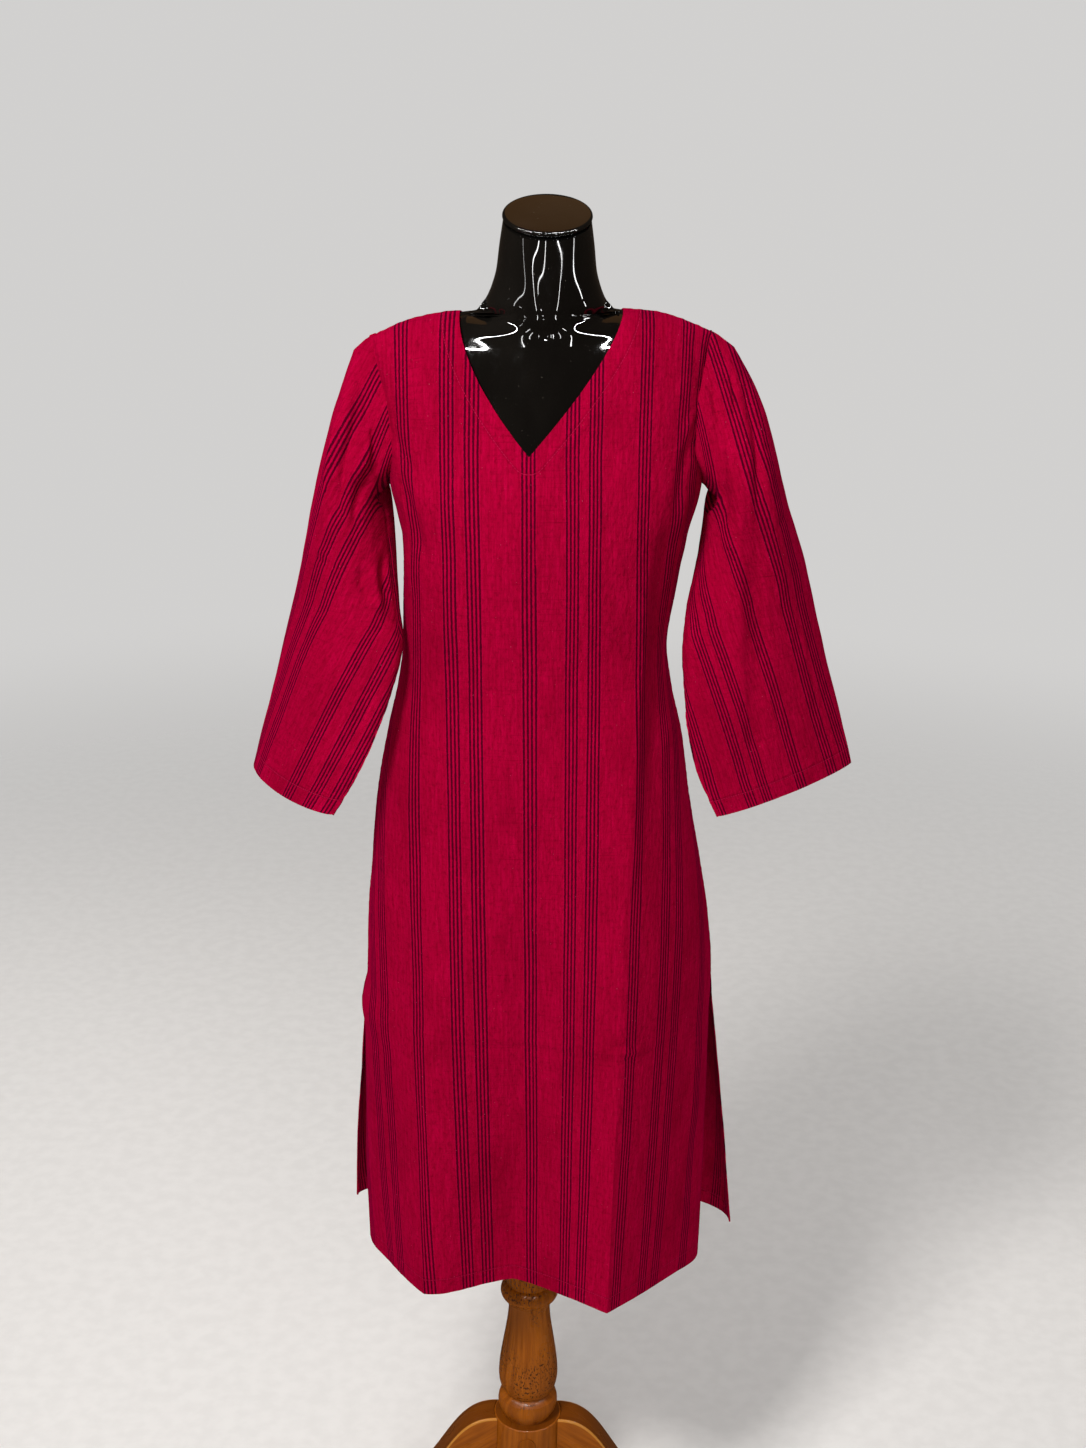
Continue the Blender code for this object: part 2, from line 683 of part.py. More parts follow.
def bead(top, bottom, radius_top, radius_bottom, radius):
    """Profile rows of a turned bead between two heights."""
    rows = []
    for step in range(BEAD_STEPS + 1):
        part = step / BEAD_STEPS
        base = radius_top + (radius_bottom - radius_top) * part
        swell = (radius - base) * sin(pi * part) ** BEAD_POWER
        rows.append(StemRow(top + (bottom - top) * part, base + swell))
    return rows


def stem():
    """The turned stem: pole, upper bead, vase and lower bead in one piece."""
    rows = [StemRow(STEM_TOP, POLE_RADIUS)]
    rows += bead(BEAD_JOINT, UPPER_BEAD_BOTTOM, POLE_RADIUS, VASE[0].radius, UPPER_BEAD_RADIUS)
    rows += VASE[1:]
    foot = HUB_TOP + SEAM_GAP
    rows += bead(LOWER_BEAD_TOP, foot, VASE[-1].radius, FOOT_RADIUS, LOWER_BEAD_RADIUS)[1:]
    rings = []
    for row in rows:
        turns = [2 * pi * i / STEM_SIDES for i in range(STEM_SIDES)]
        rings.append([Vector((row.radius * cos(t), row.radius * sin(t), row.height)) for t in turns])
    return add_object("stem", ring_mesh("stem", rings, "wood"))


def upright_cylinder(name, radius, low, high, sides):
    """A mesh of a cylinder about the stand's axis."""
    mesh = bpy.data.meshes.new(name)
    work = bmesh.new()
    bmesh.ops.create_cone(
        work, cap_ends=True, segments=sides, radius1=radius, radius2=radius, depth=high - low
    )
    bmesh.ops.translate(work, verts=work.verts, vec=(0, 0, (high + low) / 2))
    work.to_mesh(mesh)
    work.free()
    return mesh


def hub():
    """The round block under the stem, bored at the front for its plug."""
    mesh = upright_cylinder("hub", HUB_RADIUS, HUB_BOTTOM, HUB_TOP, HUB_SIDES)
    made = add_object("hub", finish_mesh(mesh, "hub", "wood"))
    round_edges(made, HUB_EDGE, 2)
    bore = upright_cylinder("plug_bore", PLUG_RADIUS + SEAM_GAP, 0, PLUG_DEPTH * 2, PLUG_SIDES)
    cutter = add_object("plug_bore", bore)
    cutter.location = (0, -HUB_RADIUS + PLUG_DEPTH, PLUG_HEIGHT)
    cutter.rotation_euler = (pi / 2, 0, 0)
    cutter.hide_render = True
    cutter.display_type = "WIRE"
    cut = made.modifiers.new("bore", "BOOLEAN")
    cut.object = cutter
    cut.operation = "DIFFERENCE"
    return made, cutter


def plug():
    """The button that closes the bore in the hub's front."""
    length = PLUG_DEPTH - SEAM_GAP + PLUG_PROUD
    mesh = upright_cylinder("plug", PLUG_RADIUS, 0, length, PLUG_SIDES)
    made = add_object("plug", finish_mesh(mesh, "plug", "wood"))
    made.location = (0, -HUB_RADIUS + PLUG_DEPTH - SEAM_GAP, PLUG_HEIGHT)
    made.rotation_euler = (pi / 2, 0, 0)
    return made


def curve_point(controls, part):
    """A point of a cubic curve in a leg's plane: distance from the axis, height."""
    rest = 1 - part
    weights = (rest ** 3, 3 * rest ** 2 * part, 3 * rest * part ** 2, part ** 3)
    return tuple(sum(w * c[axis] for w, c in zip(weights, controls)) for axis in (0, 1))


def leg(name, top, turn):
    """A curved board whose inner end follows the hub and whose toe rests on the floor."""
    root = HUB_RADIUS + LEG_ROOT_GAP
    upper = [(root, top), (LEG_CREST, top), (LEG_DIP, top / 4), (LEG_REACH, LEG_TOE)]
    arch = LEG_ROOT_BOTTOM * LEG_ARCH_SHARE
    lower = [(root, LEG_ROOT_BOTTOM), (LEG_ARCH, arch), (LEG_SOLE, 0.0), (LEG_HEEL, 0.0)]
    half = LEG_THICK / 2
    inset = half - LEG_EDGE
    columns = [-half, -inset, -inset / 2, 0, inset / 2, inset, half]
    across = len(columns)
    rings = []
    for step in range(LEG_STEPS + 2):
        part = min(1.0, step / LEG_STEPS)
        high, low = curve_point(upper, part), curve_point(lower, part)
        if step > LEG_STEPS:
            high, low = (LEG_REACH, LEG_TOE - LEG_EDGE), (LEG_REACH, 0.0)
        ring = []
        for line, lift in ((columns, high), (columns[::-1], low)):
            for side in line:
                hollow = (root - sqrt(root ** 2 - side ** 2)) * (1 - part) ** 4
                chamfer = LEG_EDGE if abs(side) == half and lift is high else 0.0
                ring.append(Vector((lift[0] - hollow, side, lift[1] - chamfer)))
        rings.append(ring)
    points = [point for ring in rings for point in ring]
    around = 2 * across
    faces = []
    for r in range(len(rings) - 1):
        for i in range(around):
            near = (i + 1) % around
            faces.append([r * around + i, r * around + near, (r + 1) * around + near, (r + 1) * around + i])
    last = (len(rings) - 1) * around
    for i in range(across - 1):
        strip = [i, i + 1, around - 2 - i, around - 1 - i]
        faces.append(strip[::-1])
        faces.append([last + corner for corner in strip])
    made = add_object(name, solid_mesh(name, points, faces, "wood"))
    made.rotation_euler = (0, 0, turn)
    return made


def main():
    """Build every sub-part and hang them all on one empty."""
    surface = garment_surface()
    normals = surface.normals()
    cloth = [cut_piece(surface, normals, piece) for piece in surface.faces]
    bpy.context.view_layer.update()
    parts = cloth + [dress_form(surface, normals), neck_cap(), stem(), plug()]
    parts += list(hub())
    parts.append(leg("leg_right", SIDE_LEG_TOP, 0))
    parts.append(leg("leg_back", CROSS_LEG_TOP, pi / 2))
    parts.append(leg("leg_left", SIDE_LEG_TOP, pi))
    parts.append(leg("leg_front", CROSS_LEG_TOP, -pi / 2))

    bpy.context.view_layer.update()
    corners = [p.matrix_world @ v.co for p in parts if not p.hide_render for v in p.data.vertices]
    middle = [(min(c[axis] for c in corners) + max(c[axis] for c in corners)) / 2 for axis in (0, 1)]
    origin = bpy.data.objects.new("origin", None)
    bpy.context.scene.collection.objects.link(origin)
    origin.location = (-middle[0], -middle[1], 0)
    for made in parts:
        made.parent = origin


main()
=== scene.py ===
"""The looks of a striped kurta tunic on a black dress form with a turned wooden stand.

Metres, +Z up, front to -Y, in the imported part's frame. The garment is drawn about the
stand's axis from the same sizes as the part, with a finer net, and is then moved there.
"""

from collections import namedtuple
from functools import lru_cache
from math import asin, cos, hypot, pi, radians, sin, sqrt, tan

import bpy
import numpy as np
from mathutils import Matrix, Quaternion, Vector, noise
from mathutils.bvhtree import BVHTree

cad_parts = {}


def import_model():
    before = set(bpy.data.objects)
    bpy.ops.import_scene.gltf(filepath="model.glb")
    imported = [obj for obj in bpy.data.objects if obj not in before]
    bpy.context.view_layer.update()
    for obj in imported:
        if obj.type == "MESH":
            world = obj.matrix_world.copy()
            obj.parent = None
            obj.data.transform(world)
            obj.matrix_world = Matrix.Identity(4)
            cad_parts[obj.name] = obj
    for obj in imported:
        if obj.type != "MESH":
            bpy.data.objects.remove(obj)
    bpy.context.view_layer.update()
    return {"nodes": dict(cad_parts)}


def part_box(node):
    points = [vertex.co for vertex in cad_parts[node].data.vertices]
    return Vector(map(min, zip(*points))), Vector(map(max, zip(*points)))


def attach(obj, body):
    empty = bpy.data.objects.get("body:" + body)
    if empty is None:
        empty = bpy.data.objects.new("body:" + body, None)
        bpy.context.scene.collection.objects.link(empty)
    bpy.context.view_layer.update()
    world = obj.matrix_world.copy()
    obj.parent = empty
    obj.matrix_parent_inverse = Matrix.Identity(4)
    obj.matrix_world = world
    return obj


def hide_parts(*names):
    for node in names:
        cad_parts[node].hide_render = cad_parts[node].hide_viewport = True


# Camera, from the photograph's own view
CAMERA_X = 0.0045
CAMERA_Y = -2.07
CAMERA_Z = 1.865
CAMERA_PITCH = radians(19.9)
CAMERA_ROLL = radians(1.0)
CAMERA_LENS = 48.9
CAMERA_SENSOR = 36.0

# Cloth
CLOTH = 0.0012
HEM_PLY = 0.0009
HEM_DEPTH = 0.019
CUFF_DEPTH = 0.019
SLIT_HEM = 0.008
FACING = 0.018
NECK_Z = 1.575
V_DROP = 0.1365
BACK_NECK_DROP = 0.030
UNDERARM_DROP = 0.185
SLIT_DROP_LEFT = 0.802
SLIT_DROP_RIGHT = 0.764
HEM_DROP = 1.120
NECK_LEFT = 0.0895
NECK_RIGHT = 0.0805
SHOULDER_FALL = 0.0255
SHOULDER_SPAN = 0.0950
SHOULDER_ROUND = 1.9
SHOULDER_TILT = 0.030
TILT_END = 0.500
V_TIP_X = -0.0147
V_BEND_LEFT = 1.6
V_BEND_RIGHT = 1.3
SQUARENESS = 2.3
FOLD_GROWTH = 1.2
CREASE_POWER = 1.25
SIDE_FADE = 6

# The net: rows over the shoulder end at the V's tip, then at the underarm
V_ROWS = 54
ARM_ROWS = 72
SKIRT_ROWS = 208
HALF_COLUMNS = 64
SLEEVE_ROWS = 110
SHOULDER_POWER = 1.5
# Points that measure the lead of a row from the grain's middle, and points down a neck edge
LEAD_POINTS = 9
NECK_POINTS = 60

# Half widths and depths of the body, from the shoulder line down to the hem.
# The last column is how much of the half width lies inside the armhole.
BodyRow = namedtuple("BodyRow", "drop left right front back inside_armhole")
BODY = [BodyRow(*row) for row in (
    (0.000, 0.187, 0.177, 0.000, 0.000, 0.985),
    (0.006, 0.186, 0.177, 0.026, 0.030, 0.975),
    (0.022, 0.185, 0.176, 0.050, 0.057, 0.960),
    (0.050, 0.182, 0.175, 0.066, 0.071, 0.940),
    (0.090, 0.177, 0.173, 0.080, 0.081, 0.920),
    (0.141, 0.170, 0.171, 0.095, 0.088, 0.935),
    (0.185, 0.163, 0.169, 0.108, 0.092, 1.000),
    (0.240, 0.149, 0.155, 0.114, 0.091, 1.000),
    (0.300, 0.150, 0.146, 0.112, 0.088, 1.000),
    (0.360, 0.151, 0.139, 0.108, 0.087, 1.000),
    (0.410, 0.157, 0.146, 0.109, 0.091, 1.000),
    (0.456, 0.167, 0.158, 0.112, 0.097, 1.000),
    (0.537, 0.181, 0.171, 0.117, 0.107, 1.000),
    (0.620, 0.188, 0.187, 0.121, 0.114, 1.000),
    (0.680, 0.193, 0.198, 0.123, 0.118, 1.000),
    (0.764, 0.196, 0.206, 0.122, 0.118, 1.000),
    (0.804, 0.203, 0.205, 0.121, 0.118, 1.000),
    (0.840, 0.199, 0.205, 0.120, 0.117, 1.000),
    (0.900, 0.199, 0.205, 0.117, 0.115, 1.000),
    (1.000, 0.200, 0.205, 0.112, 0.112, 1.000),
    (1.120, 0.197, 0.203, 0.105, 0.108, 1.000),
)]

# Where the slit edges stand at the hem, beyond the body's side line
SlitCorner = namedtuple("SlitCorner", "out forward")
SLIT_CORNERS = {
    ("front", "left"): SlitCorner(0.000, 0.006),
    ("front", "right"): SlitCorner(0.000, 0.042),
    ("back", "left"): SlitCorner(0.024, 0.065),
    ("back", "right"): SlitCorner(0.045, 0.020),
}

# Hanging folds: the ridge runs from top_x at its start to hem_x, and rises by depth
Fold = namedtuple("Fold", "face top_x hem_x start depth inner_reach outer_reach sharp")
FOLDS = [
    Fold("front", 0.104, 0.090, 0.30, 0.068, 0.110, 0.115, 1.0),
    Fold("front", -0.112, -0.123, 0.58, 0.052, 0.105, 0.075, 0.6),
    Fold("back", 0.095, 0.105, 0.50, 0.045, 0.080, 0.080, 0.3),
    Fold("back", -0.020, -0.030, 0.42, -0.022, 0.070, 0.070, 0.0),
    Fold("back", -0.110, -0.125, 0.55, 0.038, 0.075, 0.070, 0.3),
]
FOLD_SHARE = {
    ("front", "left"): 7 / 13,
    ("front", "right"): 6 / 13,
    ("back", "left"): 6 / 13,
    ("back", "right"): 6 / 13,
}

# Sleeves: where the folded tube's outer and inner edge run, and half its fullness
SleeveRow = namedtuple("SleeveRow", "place outer_x outer_drop outer_fwd inner_x inner_drop inner_fwd half")
SLEEVE_TABLES = {
    "left": (
        (0.201, 0.038, 0.000, 0.168, 0.193, 0.002, 0.046),
        (0.211, 0.076, 0.000, 0.169, 0.203, 0.008, 0.051),
        (0.222, 0.122, 0.000, 0.166, 0.225, 0.018, 0.051),
        (0.243, 0.204, -0.004, 0.160, 0.270, 0.034, 0.047),
        (0.259, 0.277, -0.008, 0.154, 0.318, 0.050, 0.042),
        (0.271, 0.323, -0.010, 0.148, 0.352, 0.064, 0.038),
        (0.288, 0.388, -0.010, 0.163, 0.412, 0.080, 0.033),
        (0.307, 0.460, -0.008, 0.194, 0.487, 0.094, 0.026),
        (0.321, 0.514, -0.006, 0.222, 0.532, 0.100, 0.021),
    ),
    "right": (
        (0.200, 0.025, 0.000, 0.174, 0.193, 0.002, 0.046),
        (0.2235, 0.077, 0.000, 0.176, 0.203, 0.006, 0.051),
        (0.239, 0.123, 0.000, 0.175, 0.222, 0.012, 0.051),
        (0.262, 0.200, -0.002, 0.168, 0.265, 0.022, 0.046),
        (0.286, 0.267, -0.004, 0.157, 0.318, 0.034, 0.038),
        (0.300, 0.317, -0.004, 0.153, 0.360, 0.044, 0.032),
        (0.321, 0.392, -0.002, 0.159, 0.425, 0.056, 0.026),
        (0.338, 0.448, 0.000, 0.172, 0.483, 0.066, 0.018),
        (0.352, 0.498, 0.002, 0.198, 0.538, 0.072, 0.012),
    ),
}
SLEEVES = {
    side: [SleeveRow((i + 1) / len(rows), *row) for i, row in enumerate(rows)]
    for side, rows in SLEEVE_TABLES.items()
}
SLEEVE_BLEND = 0.30
BLEND_START = 0.35
FIRST_RING = 1 / 14
ARM_RADIUS = 0.1

# Creases pressed or worn into the cloth, each along a path: a height below 0 is a trough.
# A place on the body is (x, drop), and on a sleeve (turn in degrees, share of its length).
# A pressed one has a sharp top, and its slopes reach further.
Crease = namedtuple("Crease", "path width height pressed", defaults=(False,))
CREASES = {
    "front": [
        Crease(((-0.195, 0.797), (0.0, 0.799), (0.205, 0.804)), 0.0036, -0.0011),
        Crease(((-0.195, 0.791), (0.0, 0.793), (0.205, 0.798)), 0.0048, 0.001),
        Crease(((0.084, 0.778), (0.099, 0.794), (0.103, 0.806)), 0.004, -0.0026),
        Crease(((0.094, 0.786), (0.112, 0.798), (0.122, 0.812)), 0.0045, 0.002),
        Crease(((-0.15, 0.16), (-0.134, 0.207), (-0.121, 0.262)), 0.0055, -0.0032),
        Crease(((-0.158, 0.195), (-0.144, 0.232), (-0.136, 0.3)), 0.007, 0.0026),
        Crease(((-0.162, 0.105), (-0.146, 0.14), (-0.128, 0.168)), 0.006, -0.0018),
        Crease(((0.16, 0.112), (0.146, 0.15), (0.138, 0.215)), 0.006, -0.0034),
        Crease(((0.161, 0.082), (0.15, 0.11), (0.146, 0.128)), 0.004, 0.0018),
        Crease(((0.152, 0.175), (0.146, 0.22), (0.147, 0.27)), 0.0065, 0.0026),
        Crease(((0.134, 0.19), (0.126, 0.27), (0.122, 0.36)), 0.009, -0.0022),
        Crease(((0.103, 0.195), (0.106, 0.28), (0.103, 0.42), (0.1, 0.64)), 0.017, 0.0075, True),
        Crease(((0.122, 0.2), (0.126, 0.3), (0.124, 0.44), (0.118, 0.6)), 0.012, -0.0036),
        Crease(((-0.098, 0.09), (-0.101, 0.25), (-0.096, 0.42)), 0.014, 0.0016),
        Crease(((-0.07, 0.2), (-0.066, 0.4), (-0.072, 0.56)), 0.012, -0.0012),
        Crease(((0.03, 0.3), (0.026, 0.47), (0.034, 0.7)), 0.016, -0.0014),
        Crease(((-0.03, 0.52), (-0.034, 0.7), (-0.028, 0.9)), 0.015, 0.0014),
        Crease(((0.062, 0.1), (0.07, 0.19), (0.064, 0.26)), 0.011, -0.0014),
        Crease(((-0.052, 0.092), (-0.03, 0.128), (-0.016, 0.152)), 0.005, 0.0008),
        Crease(((0.01, 0.15), (0.03, 0.122), (0.056, 0.084)), 0.0045, 0.0009),
        Crease(((0.196, 0.8), (0.186, 0.88), (0.193, 0.96)), 0.008, 0.0022),
        Crease(((0.197, 0.9), (0.19, 0.985), (0.196, 1.06)), 0.008, -0.002),
        Crease(((-0.15, 0.62), (-0.146, 0.72), (-0.152, 0.8)), 0.01, -0.0012),
    ],
    "back": [
        Crease(((-0.195, 0.799), (0.0, 0.797), (0.205, 0.801)), 0.0036, -0.0012),
        Crease(((-0.195, 0.793), (0.0, 0.791), (0.205, 0.795)), 0.0048, 0.0009),
        Crease(((-0.052, 0.12), (-0.06, 0.26), (-0.05, 0.39)), 0.014, 0.0018),
        Crease(((0.048, 0.16), (0.04, 0.3), (0.052, 0.43)), 0.012, -0.0016),
        Crease(((0.142, 0.15), (0.122, 0.23), (0.108, 0.33)), 0.008, -0.0026),
        Crease(((-0.15, 0.14), (-0.128, 0.215), (-0.11, 0.3)), 0.0075, -0.0028),
        Crease(((-0.11, 0.33), (0.0, 0.346), (0.11, 0.336)), 0.006, -0.0012),
        Crease(((-0.09, 0.352), (0.01, 0.366), (0.09, 0.358)), 0.007, 0.0014),
        Crease(((0.012, 0.48), (0.02, 0.66), (0.01, 0.88)), 0.015, 0.0016),
        Crease(((-0.078, 0.56), (-0.07, 0.76), (-0.08, 0.96)), 0.013, -0.0016),
    ],
    "left_sleeve": [
        Crease(((70, 0.09), (84, 0.21), (90, 0.31), (97, 0.41)), 0.008, -0.0061),
        Crease(((48, 0.06), (54, 0.18), (62, 0.3), (76, 0.44)), 0.015, 0.007, True),
        Crease(((96, 0.06), (110, 0.14), (106, 0.26)), 0.0092, 0.0041),
        Crease(((132, 0.12), (122, 0.24), (118, 0.33), (126, 0.4)), 0.008, -0.0049),
        Crease(((134, 0.43), (128, 0.47), (142, 0.51)), 0.0057, -0.0052),
        Crease(((168, 0.38), (158, 0.44), (160, 0.51)), 0.0063, -0.0058),
        Crease(((148, 0.4), (144, 0.46), (150, 0.55)), 0.0075, 0.0043),
        Crease(((60, 0.475), (84, 0.47), (112, 0.462)), 0.0032, -0.0014),
        Crease(((58, 0.462), (84, 0.458), (108, 0.452)), 0.004, 0.0014),
        Crease(((150, 0.6), (140, 0.75), (146, 0.92)), 0.0103, -0.0032),
        Crease(((84, 0.56), (78, 0.7), (88, 0.9)), 0.0161, 0.002),
        Crease(((236, 0.1), (244, 0.26), (238, 0.42)), 0.0103, -0.0049),
        Crease(((284, 0.08), (276, 0.22), (284, 0.36)), 0.0115, 0.0041),
        Crease(((210, 0.44), (250, 0.47), (300, 0.45)), 0.0057, -0.0038),
        Crease(((270, 0.55), (262, 0.72), (272, 0.9)), 0.0126, 0.0026),
    ],
    "right_sleeve": [
        Crease(((66, 0.015), (84, 0.045), (100, 0.075)), 0.0048, -0.0052),
        Crease(((40, 0.07), (60, 0.1), (80, 0.13)), 0.0041, -0.0038),
        Crease(((26, 0.1), (52, 0.18), (70, 0.28), (88, 0.4)), 0.0092, -0.0052),
        Crease(((88, 0.4), (98, 0.47), (93, 0.6), (95, 0.7), (99, 0.79)), 0.0103, -0.0049),
        Crease(((93, 0.06), (106, 0.18), (108, 0.36), (112, 0.47)), 0.015, 0.008, True),
        Crease(((110, 0.4), (106, 0.6), (108, 0.72), (112, 0.9)), 0.014, 0.006, True),
        Crease(((58, 0.26), (66, 0.42), (64, 0.62)), 0.0149, 0.0029),
        Crease(((30, 0.425), (48, 0.42), (70, 0.418)), 0.003, -0.0014),
        Crease(((101, 0.7), (104, 0.8), (108, 0.9)), 0.0086, -0.0038),
        Crease(((160, 0.55), (156, 0.66), (152, 0.78)), 0.0092, 0.0029),
        Crease(((140, 0.12), (128, 0.24), (134, 0.36)), 0.0092, -0.0035),
        Crease(((250, 0.09), (240, 0.22), (250, 0.38)), 0.0103, -0.0049),
        Crease(((290, 0.12), (282, 0.3), (290, 0.46)), 0.0115, 0.0038),
        Crease(((215, 0.46), (255, 0.49), (310, 0.47)), 0.0057, -0.0035),
        Crease(((262, 0.58), (270, 0.74), (262, 0.9)), 0.0126, 0.0026),
    ],
}
CREASE_TAPER = 0.32

# A sleeve's mean girth and length, which turn its creases' places into metres
SLEEVE_GIRTH = 0.36
SLEEVE_LENGTH = 0.50

# Soft random waves of all cloth: their size, height and seed
WAVES = ((0.030, 0.0007, 3.1), (0.011, 0.0004, 7.7))
WAVE_STRETCH = 0.35

# Stripes: groups of thin lines that repeat across the cloth
REPEAT = 0.1145
GROUP_PLACES = (0.0, 0.370, 0.566)
LINE_PITCH = 0.0038
LINES_IN_GROUP = 4
LINE_WIDTH = 0.0016
# A line's edge fades between these shares of its width
LINE_FADE = (0.85, 0.35)

# The cloth's straight grain leaves the V's point and ends here at the hem
GRAIN_HEM_X = 0.0035
# How much closer the stripes' pattern lies than the cloth, by drop, on the left and right half
EaseRow = namedtuple("EaseRow", "drop left right")
EASE = [EaseRow(*row) for row in (
    (0.00, 0.835, 0.95),
    (0.25, 0.840, 0.95),
    (0.55, 0.865, 0.97),
    (1.15, 0.905, 1.00),
)]

# Seams draw the cloth in a little
SEAM_SINK = 0.0011
SEAM_WIDTH = 0.0035
PUCKER_RISE = 0.0003
PUCKER_WIDTH = 0.013
PUCKER_LENGTH = 0.011
PUCKER_GROUPS = 3.7
PLY_STEP = 0.002

# A distance that stands for none: nothing is sewn nearer than this
FAR = 1.0

# The sleeves' stripes: the grain turns round the arm on its way down, from its own place,
# and the right sleeve's stripes lie wider inside and closer outside
SLEEVE_TWIST = {"left": 0.20, "right": -0.10}
SLEEVE_PHASE = {"left": 0.069, "right": -0.119}
SLEEVE_PLACES = {"left": (0.0, 0.255, 0.455), "right": (0.0, 0.370, 0.566)}
INNER_EASE = 1.18
OUTER_EASE = 0.70
# Above this share of its length, a sleeve's grain runs as in the straight arm below
STEADY_SHARE = 0.36

# Flattening of the sleeves towards the cuff, where they were pressed
PRESSED_FROM = 0.30
PRESSED_REACH = 0.55
PRESSED_EDGE = 0.45


def smoothstep(value):
    """0 below 0, 1 above 1, and a smooth rise between."""
    value = np.clip(value, 0.0, 1.0)
    return value * value * (3 - 2 * value)


def row_at(table, key):
    """The table's row at a value of its first column, on a curve that never overshoots."""
    rows = np.array(table)
    keys = rows[:, 0]
    key = min(max(key, keys[0]), keys[-1])
    place = min(int(np.searchsorted(keys, key, side="right")) - 1, len(keys) - 2)
    slopes = np.diff(rows, axis=0) / np.diff(keys)[:, None]
    slopes = np.vstack([slopes[:1], slopes, slopes[-1:]])[place:place + 3]
    before, after = slopes[:2], slopes[1:]
    steady = before * after > 0
    ends = np.where(steady, 2 * before * after / np.where(steady, before + after, 1.0), 0.0)
    step = keys[place + 1] - keys[place]
    part = (key - keys[place]) / step
    rest = 1 - part
    values = (1 + 2 * part) * rest ** 2 * rows[place] + part ** 2 * (3 - 2 * part) * rows[place + 1]
    values += step * (part * rest ** 2 * ends[0] - part ** 2 * rest * ends[1])
    return type(table[0])(*values.tolist())


def path_distance(path, x, y):
    """Distance of places from a path, and how near its end their nearest point lies, as a share."""
    away = np.full(np.shape(x), np.inf)
    along = np.zeros(np.shape(x))
    passed = 0.0
    for (ax, ay), (bx, by) in zip(path, path[1:]):
        length = hypot(bx - ax, by - ay)
        part = np.clip(((x - ax) * (bx - ax) + (y - ay) * (by - ay)) / length ** 2, 0, 1)
        gap = np.hypot(x - ax - part * (bx - ax), y - ay - part * (by - ay))
        along = np.where(gap < away, passed + part * length, along)
        away = np.minimum(away, gap)
        passed += length
    return away, np.minimum(along, passed - along) / passed


def ring_faces(rings, sides):
    """Quads between closed rings of points, and last a face on each end."""
    faces = []
    for r in range(rings - 1):
        for i in range(sides):
            near = (i + 1) % sides
            upper, lower = r * sides, (r + 1) * sides
            faces.append((upper + i, lower + i, lower + near, upper + near))
    last = (rings - 1) * sides
    return faces + [tuple(range(sides)), tuple(range(last, last + sides))[::-1]]


def make_piece(name, node, points, faces, finishes, layers, sharp_angle):
    """Make one piece of the visual, which stands for a node. Layers are its cloth coordinates."""
    mesh = bpy.data.meshes.new(name)
    mesh.from_pydata(points, [], faces)
    for layer_name, values in layers.items():
        layer = mesh.uv_layers.new(name=layer_name)
        layer.data.foreach_set("uv", np.asarray(values, np.float32).reshape(-1))
    mesh.shade_smooth()
    mesh.set_sharp_from_angle(angle=radians(sharp_angle))
    for finish in finishes:
        mesh.materials.append(finish)
    made = bpy.data.objects.new(name, mesh)
    bpy.context.scene.collection.objects.link(made)
    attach(made, "root")
    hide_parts(node)
    return made


@lru_cache(maxsize=None)
def body_row(drop):
    """The body table at one drop."""
    return row_at(BODY, drop)


def shoulder_fall(x):
    """How far the shoulder line has fallen at x: slowly at the neck, faster at its tip."""
    beyond = np.maximum(0.0, np.abs(x) - np.where(x > 0, NECK_RIGHT, NECK_LEFT))
    return SHOULDER_FALL * (beyond / SHOULDER_SPAN) ** SHOULDER_ROUND


def height(x, drop):
    """Height of the body's row at x: rows follow the shoulder slope, then level out."""
    slope = shoulder_fall(x) * (1 - smoothstep(drop / UNDERARM_DROP))
    tilt = SHOULDER_TILT * x * (1 - smoothstep(drop / TILT_END))
    return NECK_Z - drop - slope + tilt


def fold_rise(face, x, drop):
    """How far the hanging folds push the cloth out at one place."""
    rise = np.zeros_like(x)
    for fold in FOLDS:
        if fold.face != face or drop <= fold.start:
            continue
        down = (drop - fold.start) / (HEM_DROP - fold.start)
        ridge = fold.top_x + (fold.hem_x - fold.top_x) * down
        outward = (x - ridge) * (1 if fold.hem_x > 0 else -1)
        reach = np.where(outward > 0, fold.outer_reach, fold.inner_reach)
        away = np.minimum(1.0, np.abs(outward) / reach)
        soft = 0.5 + 0.5 * np.cos(pi * away)
        crisp = (1 - away) ** CREASE_POWER
        rise += fold.depth * down ** FOLD_GROWTH * (soft + (crisp - soft) * fold.sharp)
    return rise


def body_points(face, angles, drop):
    """Points of the body's cloth in one row. Angles run from 0 at the middle to 90 at the side."""
    row = body_row(drop)
    right = angles > 0
    sign = np.where(right, 1.0, -1.0)
    half = np.where(right, row.right, row.left)
    depth = row.front if face == "front" else row.back
    size = np.minimum(np.abs(angles), pi / 2)
    across = np.sin(size) ** (2 / SQUARENESS)
    outward = np.maximum(0.0, np.cos(size)) ** (2 / SQUARENESS)
    slit = np.where(right, SLIT_DROP_RIGHT, SLIT_DROP_LEFT)
    opened = np.maximum(0.0, (drop - slit) / (HEM_DROP - slit))
    corners = (SLIT_CORNERS[face, "right"], SLIT_CORNERS[face, "left"])
    edge = np.where(right, corners[0].forward, corners[1].forward) * opened
    out = np.where(right, corners[0].out, corners[1].out) * opened
    x = sign * (half * across + out * across ** 3)
    forward = edge + (depth - edge) * outward
    forward = forward + fold_rise(face, x, drop) * (1 - across ** SIDE_FADE)
    y = -forward if face == "front" else forward
    return np.stack([x, y, height(x, drop)], axis=1)


def angle_at(x, drop):
    """The angle at which a row passes x."""
    row = body_row(drop)
    half = row.right if x > 0 else row.left
    share = min(1.0, abs(x) / half)
    return (1 if x > 0 else -1) * asin(share ** (SQUARENESS / 2))


